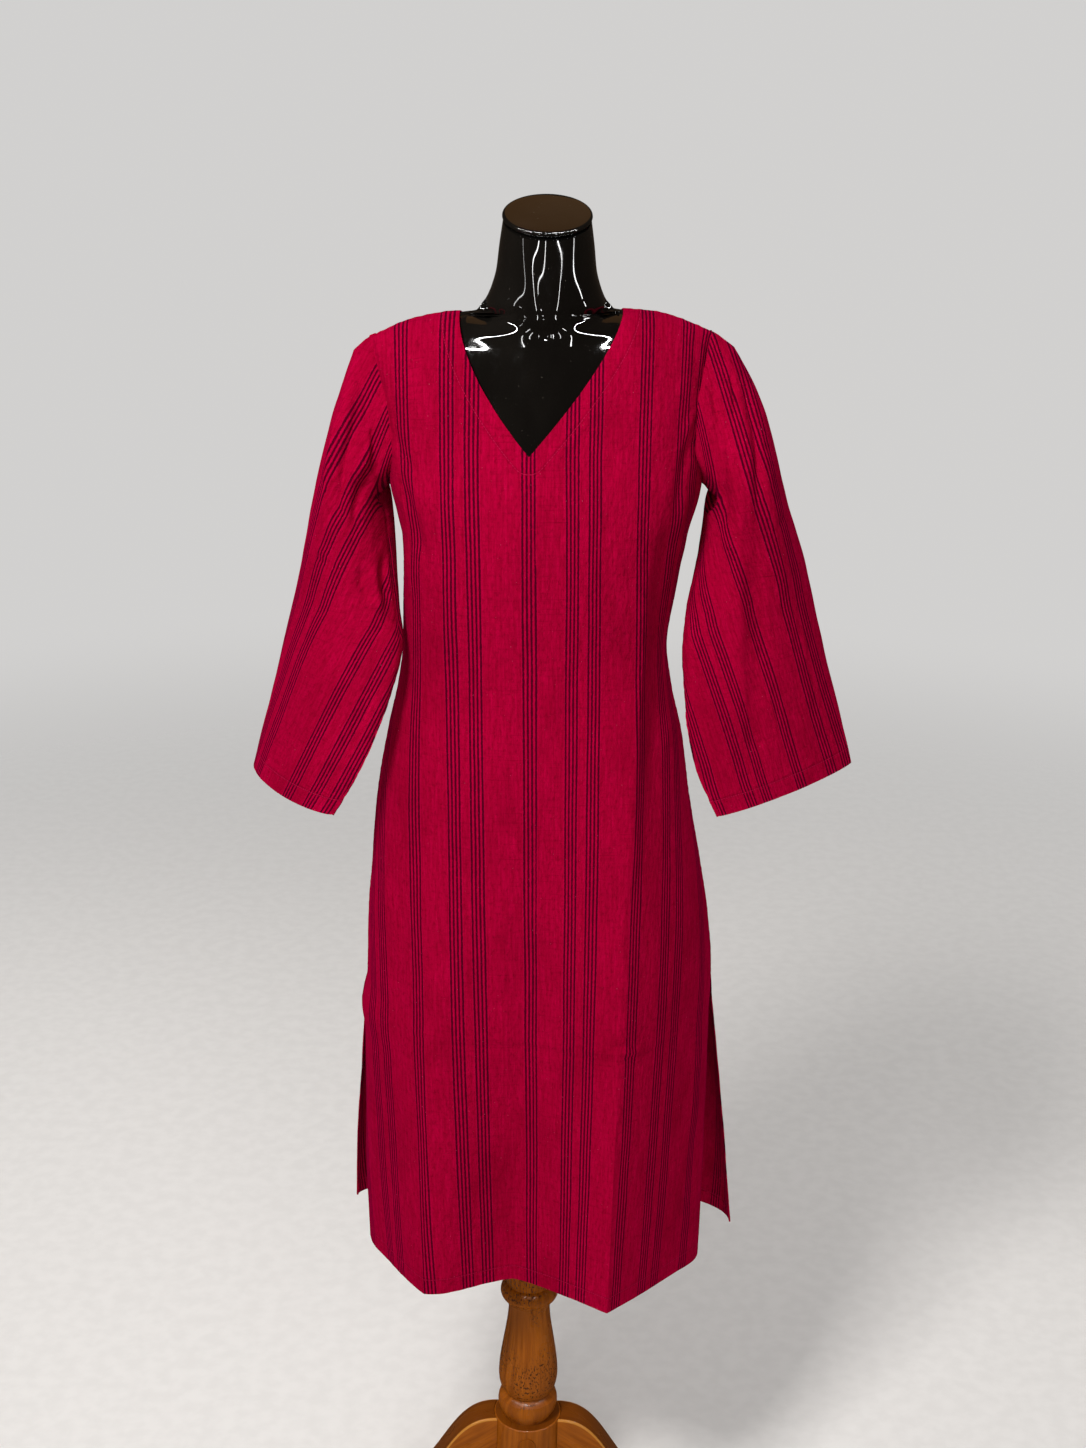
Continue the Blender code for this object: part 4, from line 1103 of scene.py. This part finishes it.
# Stand
TurnRow = namedtuple("TurnRow", "height radius")
POLE_RADIUS = 0.0304
POLE_ROWS = 8
POLE_SHARE = 0.7
STEM_TOP = 0.8147
HUB_TOP = 0.182
BEAD_JOINT = 0.379
UPPER_BEAD_RADIUS = 0.0360
UPPER_BEAD_BOTTOM = 0.353
LOWER_BEAD_TOP = 0.217
# Under the vase: a groove, a cove that opens to a sharp edge, and a round belly
LOWER_BEAD = [TurnRow(*row) for row in (
    (0.2172, 0.0282),
    (0.2155, 0.0286),
    (0.2135, 0.0308),
    (0.2116, 0.0338),
    (0.2104, 0.0358),
    (0.2090, 0.0362),
    (0.2065, 0.0369),
    (0.2030, 0.0374),
    (0.1990, 0.0373),
    (0.1950, 0.0364),
    (0.1910, 0.0349),
    (0.1875, 0.0331),
    (0.1845, 0.0316),
    (0.1823, 0.0310),
)]
VASE = [TurnRow(*row) for row in (
    (0.3530, 0.0262),
    (0.3450, 0.0256),
    (0.3300, 0.0264),
    (0.3100, 0.0290),
    (0.2900, 0.0321),
    (0.2700, 0.0350),
    (0.2540, 0.0367),
    (0.2430, 0.0371),
    (0.2330, 0.0362),
    (0.2240, 0.0335),
    (0.2170, 0.0295),
)]
SEAM_GAP = 0.0003
TURNED_SIDES = 96
BEAD_STEPS = 20
BEAD_POWER = 0.7
GROOVE = 0.0012
VASE_STEP = 0.0018
EDGE_ARC = 5
HUB_RADIUS = 0.0427
HUB_BOTTOM = 0.052
HUB_EDGE = 0.0018
LEG_THICK = 0.040
LEG_STEPS = 44
LEG_ROOT_GAP = 0.0006
LEG_REACH = 0.245
LEG_TOE = 0.022
LEG_HEEL = 0.185
LEG_ROOT_BOTTOM = 0.066
LEG_CREST = 0.117
LEG_DIP = 0.100
LEG_ARCH = 0.085
LEG_ARCH_SHARE = 0.8
LEG_SOLE = 0.110
CROSS_LEG_TOP = 0.140
LEG_EDGE = 0.0025
LEG_GRAIN = (0.80, 0.60)
EDGE_STEPS = 3


def bead(top, bottom, radius_top, radius_bottom, radius):
    """Rows of a turned bead between two heights."""
    rows = []
    for step in range(BEAD_STEPS + 1):
        part = step / BEAD_STEPS
        base = radius_top + (radius_bottom - radius_top) * part
        swell = (radius - base) * sin(pi * part) ** BEAD_POWER
        rows.append(TurnRow(top + (bottom - top) * part, base + swell))
    return rows


def stem_rows():
    """Rows of the turned stem, with the fine grooves that part its beads."""
    pole = POLE_SHARE * (STEM_TOP - BEAD_JOINT)
    rows = [TurnRow(STEM_TOP - pole * i / POLE_ROWS, POLE_RADIUS) for i in range(POLE_ROWS + 1)]
    rows.append(TurnRow(BEAD_JOINT + 2 * GROOVE, POLE_RADIUS))
    rows.append(TurnRow(BEAD_JOINT + 0.4 * GROOVE, POLE_RADIUS - 0.8 * GROOVE))
    neck = VASE[0].radius
    rows += bead(BEAD_JOINT, UPPER_BEAD_BOTTOM, POLE_RADIUS - GROOVE, neck, UPPER_BEAD_RADIUS)
    rows.append(TurnRow(UPPER_BEAD_BOTTOM - 0.5 * GROOVE, neck - 0.5 * GROOVE))
    height_of = UPPER_BEAD_BOTTOM - 2 * GROOVE
    vase = VASE[::-1]
    while height_of > LOWER_BEAD_TOP + 2 * GROOVE:
        rows.append(row_at(vase, height_of))
        height_of -= VASE_STEP
    return rows + LOWER_BEAD


def rounded_cylinder(radius, low, high, edge):
    """Rows of an upright cylinder with a rounded upper and lower edge."""
    rows = []
    for corner, sign in ((high, 1), (low, -1)):
        for step in range(EDGE_ARC + 1):
            turn = pi / 2 * (step if sign > 0 else EDGE_ARC - step) / EDGE_ARC
            rows.append(TurnRow(corner - sign * edge * (1 - cos(turn)), radius - edge * (1 - sin(turn))))
    return rows


def turned(name, rows, axis_x, node, finishes):
    """A turned piece from rows, top to bottom. A second finish is that of its upper face."""
    sides = TURNED_SIDES
    turns = [2 * pi * i / sides for i in range(sides)]
    points = [(axis_x + r * cos(t), r * sin(t), z) for z, r in rows for t in turns]
    runs = [0.0]
    for above, below in zip(rows, rows[1:]):
        runs.append(runs[-1] + hypot(below.height - above.height, below.radius - above.radius))
    mean = sum(row.radius for row in rows) / len(rows)
    faces = ring_faces(len(rows), sides)
    grain = []
    for upper, lower in zip(runs, runs[1:]):
        for i in range(sides):
            u0, u1 = 2 * pi * mean * i / sides, 2 * pi * mean * (i + 1) / sides
            grain += [(u0, -upper), (u0, -lower), (u1, -lower), (u1, -upper)]
    grain += [points[c][:2] for cap in faces[-2:] for c in cap]
    made = make_piece(name, node, points, faces, finishes, {"grain": grain}, 35)
    made.data.polygons[(len(rows) - 1) * sides].material_index = len(finishes) - 1
    return made


def curve_point(controls, part):
    """A point of a cubic curve in a leg's plane: distance from the axis, height."""
    rest = 1 - part
    weights = (rest ** 3, 3 * rest ** 2 * part, 3 * rest * part ** 2, part ** 3)
    return tuple(sum(w * c[axis] for w, c in zip(weights, controls)) for axis in (0, 1))


def leg_sections(top):
    """Rings of a leg's board in its own plane, as (out, side, up), and each ring's upper count."""
    root = HUB_RADIUS + LEG_ROOT_GAP
    upper = [(root, top), (LEG_CREST, top), (LEG_DIP, top / 4), (LEG_REACH, LEG_TOE)]
    arch = LEG_ROOT_BOTTOM * LEG_ARCH_SHARE
    lower = [(root, LEG_ROOT_BOTTOM), (LEG_ARCH, arch), (LEG_SOLE, 0.0), (LEG_HEEL, 0.0)]
    inset = LEG_THICK / 2 - LEG_EDGE
    top_line = []
    for step in range(EDGE_STEPS + 1):
        angle = pi / 2 * step / EDGE_STEPS
        top_line.append((-inset - LEG_EDGE * cos(angle), LEG_EDGE * (1 - sin(angle))))
    top_line += [(-inset / 2, 0.0), (0.0, 0.0), (inset / 2, 0.0)]
    top_line += [(-side, sunk) for side, sunk in top_line[EDGE_STEPS::-1]]
    bottom_line = [(-side, 0.0) for side, _ in top_line]
    spots = []
    for step in range(LEG_STEPS + 2):
        part = min(1.0, step / LEG_STEPS)
        high, low = curve_point(upper, part), curve_point(lower, part)
        if step > LEG_STEPS:
            high, low = (LEG_REACH, LEG_TOE - LEG_EDGE), (LEG_REACH, 0.0)
        for line, (out, up) in ((top_line, high), (bottom_line, low)):
            for side, sunk in line:
                hollow = (root - sqrt(root ** 2 - side ** 2)) * (1 - part) ** 4
                spots.append((out - hollow, side, up - sunk))
    return spots, len(top_line)


def leg(name, top, turn, axis_x, finishes):
    """A curved board with rounded upper edges, whose toe rests on the floor.

    The finishes are those of its faces, its top, which is given painted shade, and its rounded edges,
    which are given a painted highlight.
    """
    spots, upper_count = leg_sections(top)
    around = 2 * upper_count
    points = [
        (axis_x + out * cos(turn) - side * sin(turn), out * sin(turn) + side * cos(turn), up)
        for out, side, up in spots
    ]
    faces = ring_faces(LEG_STEPS + 2, around)[:-2]
    last = (LEG_STEPS + 1) * around
    for i in range(upper_count - 1):
        strip = (i, i + 1, around - 2 - i, around - 1 - i)
        faces.append(strip)
        faces.append(tuple(last + corner for corner in strip[::-1]))
    grain = []
    long, short = LEG_GRAIN
    for face in faces:
        level = len({spots[c][1] for c in face}) > 1
        for c in face:
            out, side, up = spots[c]
            grain.append((side, out) if level else (up * long + out * short, out * long - up * short))
    made = make_piece(name + "_board", name, points, faces, finishes, {"grain": grain}, 38)
    # Upper faces take the second finish, painted shade; their rounded edges take the third, a painted
    # highlight.
    for index in range(last):
        place = index % around
        from_edge = min(place, upper_count - 2 - place)
        if from_edge >= 0:
            made.data.polygons[index].material_index = 2 if from_edge < EDGE_STEPS else 1
    return made


# Dress form: a round neck that sinks into a flatter body. Both are half sizes. Slope is how
# far a row follows the shoulder line, and tilt how far it tips to the front with the neck's end.
FormRow = namedtuple("FormRow", "drop neck_half neck_depth half front back slope tilt")
FORM = [FormRow(*row) for row in (
    (-0.0900, 0.0455, 0.0455, 0.0455, 0.000, 0.000, 0.0, 1.0),
    (-0.0640, 0.0492, 0.0475, 0.0492, 0.000, 0.000, 0.0, 0.8),
    (-0.0400, 0.0520, 0.0490, 0.0520, 0.000, 0.000, 0.0, 0.5),
    (-0.0220, 0.0570, 0.0505, 0.0570, 0.000, 0.000, 0.0, 0.3),
    (-0.0120, 0.0610, 0.0515, 0.0615, 0.000, 0.000, 0.0, 0.1),
    (-0.0055, 0.0625, 0.0525, 0.0665, 0.003, 0.003, 0.3, 0.0),
    (0.0018, 0.0620, 0.0530, 0.0740, 0.007, 0.007, 0.8, 0.0),
    (0.0028, 0.0615, 0.0540, 0.1000, 0.010, 0.010, 1.0, 0.0),
    (0.0040, 0.0615, 0.0540, 0.1300, 0.013, 0.014, 1.0, 0.0),
    (0.0120, 0.0605, 0.0525, 0.1480, 0.029, 0.032, 1.0, 0.0),
    (0.0250, 0.0590, 0.0490, 0.1530, 0.044, 0.046, 1.0, 0.0),
    (0.0500, 0.0550, 0.0450, 0.1550, 0.059, 0.061, 0.9, 0.0),
    (0.0900, 0.0400, 0.0400, 0.1510, 0.073, 0.072, 0.6, 0.0),
    (0.1365, 0.0300, 0.0250, 0.1460, 0.086, 0.080, 0.2, 0.0),
    (0.1850, 0.0300, 0.0000, 0.1420, 0.097, 0.083, 0.0, 0.0),
    (0.2400, 0.0300, 0.0000, 0.1340, 0.102, 0.082, 0.0, 0.0),
    (0.3000, 0.0300, 0.0000, 0.1260, 0.095, 0.078, 0.0, 0.0),
    (0.3600, 0.0300, 0.0000, 0.1210, 0.088, 0.075, 0.0, 0.0),
    (0.4300, 0.0300, 0.0000, 0.1320, 0.092, 0.083, 0.0, 0.0),
    (0.5200, 0.0300, 0.0000, 0.1500, 0.097, 0.095, 0.0, 0.0),
    (0.6200, 0.0300, 0.0000, 0.1600, 0.100, 0.103, 0.0, 0.0),
    (0.7000, 0.0300, 0.0000, 0.1580, 0.098, 0.101, 0.0, 0.0),
    (0.7600, 0.0300, 0.0000, 0.1500, 0.092, 0.095, 0.0, 0.0),
)]
FORM_SIDES = 144
FORM_MERGE = 5
NECK_TILT = radians(20)
# The form keeps this gap to the cloth's inside, and is pressed in where it comes nearer
FIT_GAP = 0.0022
PRESS_REACH = 0.03
PRESS_ROUNDS = 4
FACING_SHARE = 0.7
# Rows of the form: the first and last drop of a stretch, and its steps
FORM_STEPS = ((-0.090, 0.060, 76), (0.060, 0.200, 36), (0.200, 0.760, 56))
CAP_RADIUS = 0.0465
CAP_THICK = 0.0075
CAP_EDGE = 0.0032
CAP_CROWN = 0.0006
CAP_RINGS = 8
CAP_ARC = 7
CAP_CENTRE = 0.0001
RELIEF_TAPER = 0.3

# Relief on the form's front: a path of (x, drop), its width and its height
Relief = namedtuple("Relief", "path width height")
RELIEFS = [
    Relief(((-0.014, 0.021), (-0.048, 0.018), (-0.095, 0.008)), 0.0085, 0.0034),
    Relief(((0.016, 0.021), (0.048, 0.018), (0.088, 0.008)), 0.0085, 0.0034),
    Relief(((-0.024, 0.004), (-0.052, 0.003)), 0.0095, -0.0036),
    Relief(((0.024, 0.004), (0.052, 0.003)), 0.0095, -0.0036),
    Relief(((0.001, 0.012), (0.001, 0.026)), 0.0070, -0.0034),
    Relief(((-0.005, 0.012), (-0.012, -0.020), (-0.036, -0.130)), 0.0100, 0.0016),
    Relief(((0.007, 0.012), (0.013, -0.020), (0.034, -0.130)), 0.0100, 0.0016),
]


def form_depth(row, x, depth):
    """Depth of a form section at x: the larger of neck and body, with a smooth change."""
    neck = row.neck_depth * np.sqrt(np.maximum(0.0, 1 - (x / row.neck_half) ** 2))
    body = depth * np.maximum(0.0, 1 - (x / row.half) ** SQUARENESS) ** (1 / SQUARENESS)
    return (neck ** FORM_MERGE + body ** FORM_MERGE) ** (1 / FORM_MERGE)


def relief_rise(x, drop):
    """Height of the collar bones, neck cords and hollows along one row of the front."""
    total = np.zeros_like(x)
    for relief in RELIEFS:
        away, near_end = path_distance(relief.path, x, drop)
        fade = smoothstep(near_end / RELIEF_TAPER + RELIEF_TAPER)
        total += relief.height * fade * np.exp(-((away / relief.width) ** 2))
    return total


def press_in(point, tree):
    """Move a point of the form that reaches past the cloth's inside, or too near it."""
    for _ in range(PRESS_ROUNDS):
        place, normal, _, distance = tree.find_nearest(point)
        outside = (point - place).dot(normal)
        faces_it = abs(outside) > distance * FACING_SHARE
        if faces_it and outside > -FIT_GAP and distance < PRESS_REACH:
            point = place - normal * FIT_GAP
        elif distance < FIT_GAP:
            point = place + (point - place).normalized() * FIT_GAP
    return point


def form_row(drop):
    """The points of one row of the form, before it is pressed into the cloth."""
    row = row_at(FORM, drop)
    turns = 2 * pi * np.arange(FORM_SIDES) / FORM_SIDES
    ahead = np.cos(turns)
    x = row.half * np.sin(turns)
    depth = np.where(ahead > 0, row.front, row.back)
    forward = np.copysign(form_depth(row, np.abs(x), depth), ahead)
    forward += np.where(ahead > 0, relief_rise(x, drop) * np.minimum(1.0, 3 * ahead), 0.0)
    z = NECK_Z - drop + (SHOULDER_TILT * x - shoulder_fall(x)) * row.slope
    z -= tan(NECK_TILT) * forward * row.tilt
    return np.stack([x, -forward, z], axis=1)


def dress_form(garment, axis_x, finish):
    """The torso and neck, pressed in where they would touch the cloth."""
    lining = garment.points - garment.normals * (CLOTH + HEM_PLY)
    tree = BVHTree.FromPolygons(lining.tolist(), garment.faces.tolist())
    drops = [FORM_STEPS[-1][1]]
    for start, end, steps in FORM_STEPS[::-1]:
        drops = [start + (end - start) * i / steps for i in range(steps)] + drops
    shift = Vector((axis_x, 0, 0))
    points = [press_in(Vector(place), tree) + shift for drop in drops for place in form_row(drop)]
    faces = ring_faces(len(drops), FORM_SIDES)
    make_piece("dress_form_shell", "dress_form", points, faces, [finish], {}, 50)


def neck_cap(axis_x, finish):
    """The plate on the neck, with a rounded rim and a faint crown, tipped to the front."""
    half = CAP_THICK / 2
    flat = CAP_RADIUS - CAP_EDGE
    rows = [
        (max(flat * i / CAP_RINGS, CAP_CENTRE), half - CAP_CROWN * (i / CAP_RINGS) ** 2)
        for i in range(CAP_RINGS + 1)
    ]
    for step in range(1, CAP_ARC + 1):
        turn = pi / 2 * step / CAP_ARC
        rows.append((flat + CAP_EDGE * sin(turn), half - CAP_CROWN - CAP_EDGE * (1 - cos(turn))))
    rows += [(CAP_RADIUS, -half + CAP_EDGE), (CAP_RADIUS - 0.3 * CAP_EDGE, -half + 0.3 * CAP_EDGE)]
    rows.append((flat, -half))
    seat = NECK_Z - FORM[0].drop + (half + SEAM_GAP) / cos(NECK_TILT)
    long, rise = cos(NECK_TILT), sin(NECK_TILT)
    points = []
    for reach, up in rows:
        for i in range(TURNED_SIDES):
            turn = 2 * pi * i / TURNED_SIDES
            y = reach * sin(turn)
            points.append((axis_x + reach * cos(turn), y * long - up * rise, seat + y * rise + up * long))
    faces = ring_faces(len(rows), TURNED_SIDES)
    make_piece("neck_cap_plate", "neck_cap", points, faces, [finish], {}, 50)


def camera(axis_x):
    """The photograph's camera."""
    data = bpy.data.cameras.new("camera")
    data.lens = CAMERA_LENS
    data.sensor_width = CAMERA_SENSOR
    made = bpy.data.objects.new("camera", data)
    made.location = (axis_x + CAMERA_X, CAMERA_Y, CAMERA_Z)
    made.rotation_mode = "QUATERNION"
    look = Vector((0, cos(CAMERA_PITCH), -sin(CAMERA_PITCH))).to_track_quat("-Z", "Y")
    made.rotation_quaternion = look @ Quaternion((0, 0, 1), CAMERA_ROLL)
    bpy.context.scene.collection.objects.link(made)
    bpy.context.scene.camera = made


# Lights. The form's lacquer mirrors only the strips and the panel, which light nothing else:
# the tall strips give the neck its fine lines, and the wide one the rim and the collar bones.
WARM = (1.0, 0.965, 0.93)
SOFT = (1.0, 0.97, 0.94)
COOL = (1.0, 0.98, 0.96)
WHITE = (1.0, 1.0, 1.0)
AMBER = (1.0, 0.45, 0.12)
AreaLight = namedtuple("AreaLight", "name place aim width height power color reflect_only")
LIGHTS = [
    AreaLight("key", (-1.05, -1.85, 3.30), (0, 0, 1.1), 0.7, 0.7, 90.0, WARM, False),
    AreaLight("front", (0.6, -3.3, 2.2), (0, 0, 0.8), 1.6, 1.6, 32.0, SOFT, False),
    AreaLight("rim_left", (-1.9, 1.7, 2.4), (0, 0, 1.2), 0.6, 1.6, 26.0, COOL, False),
    AreaLight("rim_right", (1.9, 1.7, 2.4), (0, 0, 1.2), 0.6, 1.6, 26.0, COOL, False),
    AreaLight("strip_left", (-0.75, -2.35, 1.90), (0, 0, 1.6), 0.06, 0.85, 5.0, WHITE, True),
    AreaLight("strip_low", (-2.0, -1.4, 1.90), (0, 0, 1.6), 0.05, 0.85, 2.0, WHITE, True),
    AreaLight("strip_centre", (-0.12, -2.50, 1.80), (0, 0, 1.6), 0.05, 0.38, 1.4, WHITE, True),
    AreaLight("strip_mid", (0.90, -2.30, 1.90), (0, 0, 1.6), 0.07, 0.85, 6.0, WHITE, True),
    AreaLight("strip_right", (2.35, -0.75, 1.90), (0, 0, 1.6), 0.08, 0.85, 6.0, WHITE, True),
    AreaLight("strip_top", (0.0, -1.3, 3.2), (0, 0, 1.6), 8.0, 0.03, 260.0, WHITE, True),
    AreaLight("panel_over", (0.3, 1.95, 4.4), (0, 0, 1.6), 2.0, 1.8, 2.9, AMBER, True),
]
SURROUND = (0.80, 0.79, 0.78, 1)
MIRRORED = (0.050, 0.036, 0.026, 1)
AMBIENT = 0.20
BACKDROP = 0.80


def lights(axis_x):
    """A soft key from the upper left, a weak fill, and strips that only the gloss shows."""
    scene = bpy.context.scene
    for light in LIGHTS:
        data = bpy.data.lights.new(light.name, "AREA")
        data.shape = "RECTANGLE"
        data.size = light.width
        data.size_y = light.height
        data.energy = light.power
        data.color = light.color
        made = bpy.data.objects.new(light.name, data)
        made.location = Vector(light.place) + Vector((axis_x, 0, 0))
        made.rotation_mode = "QUATERNION"
        made.rotation_quaternion = (Vector(light.aim) - Vector(light.place)).to_track_quat("-Z", "Y")
        made.visible_diffuse = not light.reflect_only
        made.visible_glossy = light.reflect_only
        made.visible_camera = False
        scene.collection.objects.link(made)
    world = bpy.data.worlds.new("surround")
    world.use_nodes = True
    tree = world.node_tree
    path = tree.nodes.new("ShaderNodeLightPath")
    shown = None
    for ray, color, strength in (
        (None, SURROUND, AMBIENT),
        ("Is Glossy Ray", MIRRORED, 1.0),
        ("Is Camera Ray", SURROUND, BACKDROP),
    ):
        back = tree.nodes.new("ShaderNodeBackground")
        back.inputs["Color"].default_value = color
        back.inputs["Strength"].default_value = strength
        if ray is None:
            shown = back.outputs[0]
            continue
        mixed = tree.nodes.new("ShaderNodeMixShader")
        for source, target in zip((path.outputs[ray], shown, back.outputs[0]), mixed.inputs):
            tree.links.new(source, target)
        shown = mixed.outputs[0]
    tree.links.new(shown, tree.nodes["World Output"].inputs["Surface"])
    scene.world = world
    scene.view_settings.view_transform = "Standard"
    scene.view_settings.look = "None"


FLOOR_REACH = 9.0
FLOOR_FADE = (1.2, 4.2)
FLOOR_COLORS = ((0.80, 0.79, 0.78, 1), (0.84, 0.83, 0.82, 1))


def floor():
    """A plain pale floor that fades into the surround."""
    mesh = bpy.data.meshes.new("floor")
    corners = [(x * FLOOR_REACH, y * FLOOR_REACH, 0) for x, y in ((-1, -1), (1, -1), (1, 1), (-1, 1))]
    mesh.from_pydata(corners, [], [(0, 1, 2, 3)])
    nodes = Nodes("floor_paint")
    place = nodes.place()
    distance = nodes.add("VectorMath", {0: place}, operation="LENGTH").outputs["Value"]
    faint = nodes.noise(place, (40.0, 40.0, 1.0), 3.0)
    color = nodes.mix(nodes.rise(faint, 0.3, 0.7), *FLOOR_COLORS)
    mesh.materials.append(nodes.finish(Base_Color=color, Roughness=0.85, Specular_IOR_Level=0.1))
    clear = nodes.add("BsdfTransparent").outputs[0]
    fade = nodes.rise(distance, *FLOOR_FADE)
    mixed = nodes.add("MixShader", {0: fade, 1: nodes.shader.outputs[0], 2: clear})
    nodes.put(mixed.outputs[0], nodes.tree.nodes["Material Output"].inputs["Surface"])
    made = bpy.data.objects.new("floor", mesh)
    made.visible_glossy = False
    bpy.context.scene.collection.objects.link(made)


def dress_cloth(axis_x):
    """The four pieces of cloth, with what each of them takes to cut. Returns the garment."""
    garment = draw_garment()
    dress_garment(garment)
    body = cloth_material("body_cloth", GROUP_PLACES)
    left = cloth_material("left_sleeve_cloth", SLEEVE_PLACES["left"])
    right = cloth_material("right_sleeve_cloth", SLEEVE_PLACES["right"])
    front = make_shell(garment, "front", "front_panel", body, axis_x)
    back = make_shell(garment, "back", "back_panel", body, axis_x)
    left_sleeve = make_shell(garment, "left_sleeve", "left_sleeve", left, axis_x)
    right_sleeve = make_shell(garment, "right_sleeve", "right_sleeve", right, axis_x)
    return garment


def dress_stand(axis_x, plug):
    """The turned stem, the hub with its plug, and the four legs."""
    turned_wood = wood_material("turned_wood", pores=0.585)
    boards = wood_material("board_wood")
    # Painted shade: the upper faces of the hub and legs, which the cloth above shades, are painted darker.
    dark = wood_material("painted_shade_wood", shade=0.75)
    # A painted highlight: the legs' rounded upper edges are painted paler.
    edge_highlight = wood_material("painted_highlight_edge", pores=0.90, shade=-0.5)
    plug_wood = wood_material("plug_wood", pores=0.80, shade=0.25, placed=True)
    turned("turned_stem", stem_rows(), axis_x, "stem", [turned_wood])
    hub_rows = rounded_cylinder(HUB_RADIUS, HUB_BOTTOM, HUB_TOP, HUB_EDGE)
    turned("hub_block", hub_rows, axis_x, "hub", [boards, dark])
    for slot in plug.material_slots:
        slot.material = plug_wood
    for name, top, turn in (
        ("leg_right", HUB_TOP, 0),
        ("leg_back", CROSS_LEG_TOP, pi / 2),
        ("leg_left", HUB_TOP, pi),
        ("leg_front", CROSS_LEG_TOP, -pi / 2),
    ):
        leg(name, top, turn, axis_x, [boards, dark, edge_highlight])


def main():
    """Dress the part."""
    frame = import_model()
    stem_low, stem_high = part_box("stem")
    axis_x = (stem_low.x + stem_high.x) / 2
    camera(axis_x)
    lights(axis_x)
    floor()
    garment = dress_cloth(axis_x)
    lacquer = form_material()
    dress_form(garment, axis_x, lacquer)
    neck_cap(axis_x, lacquer)
    dress_stand(axis_x, frame["nodes"]["plug"])


main()
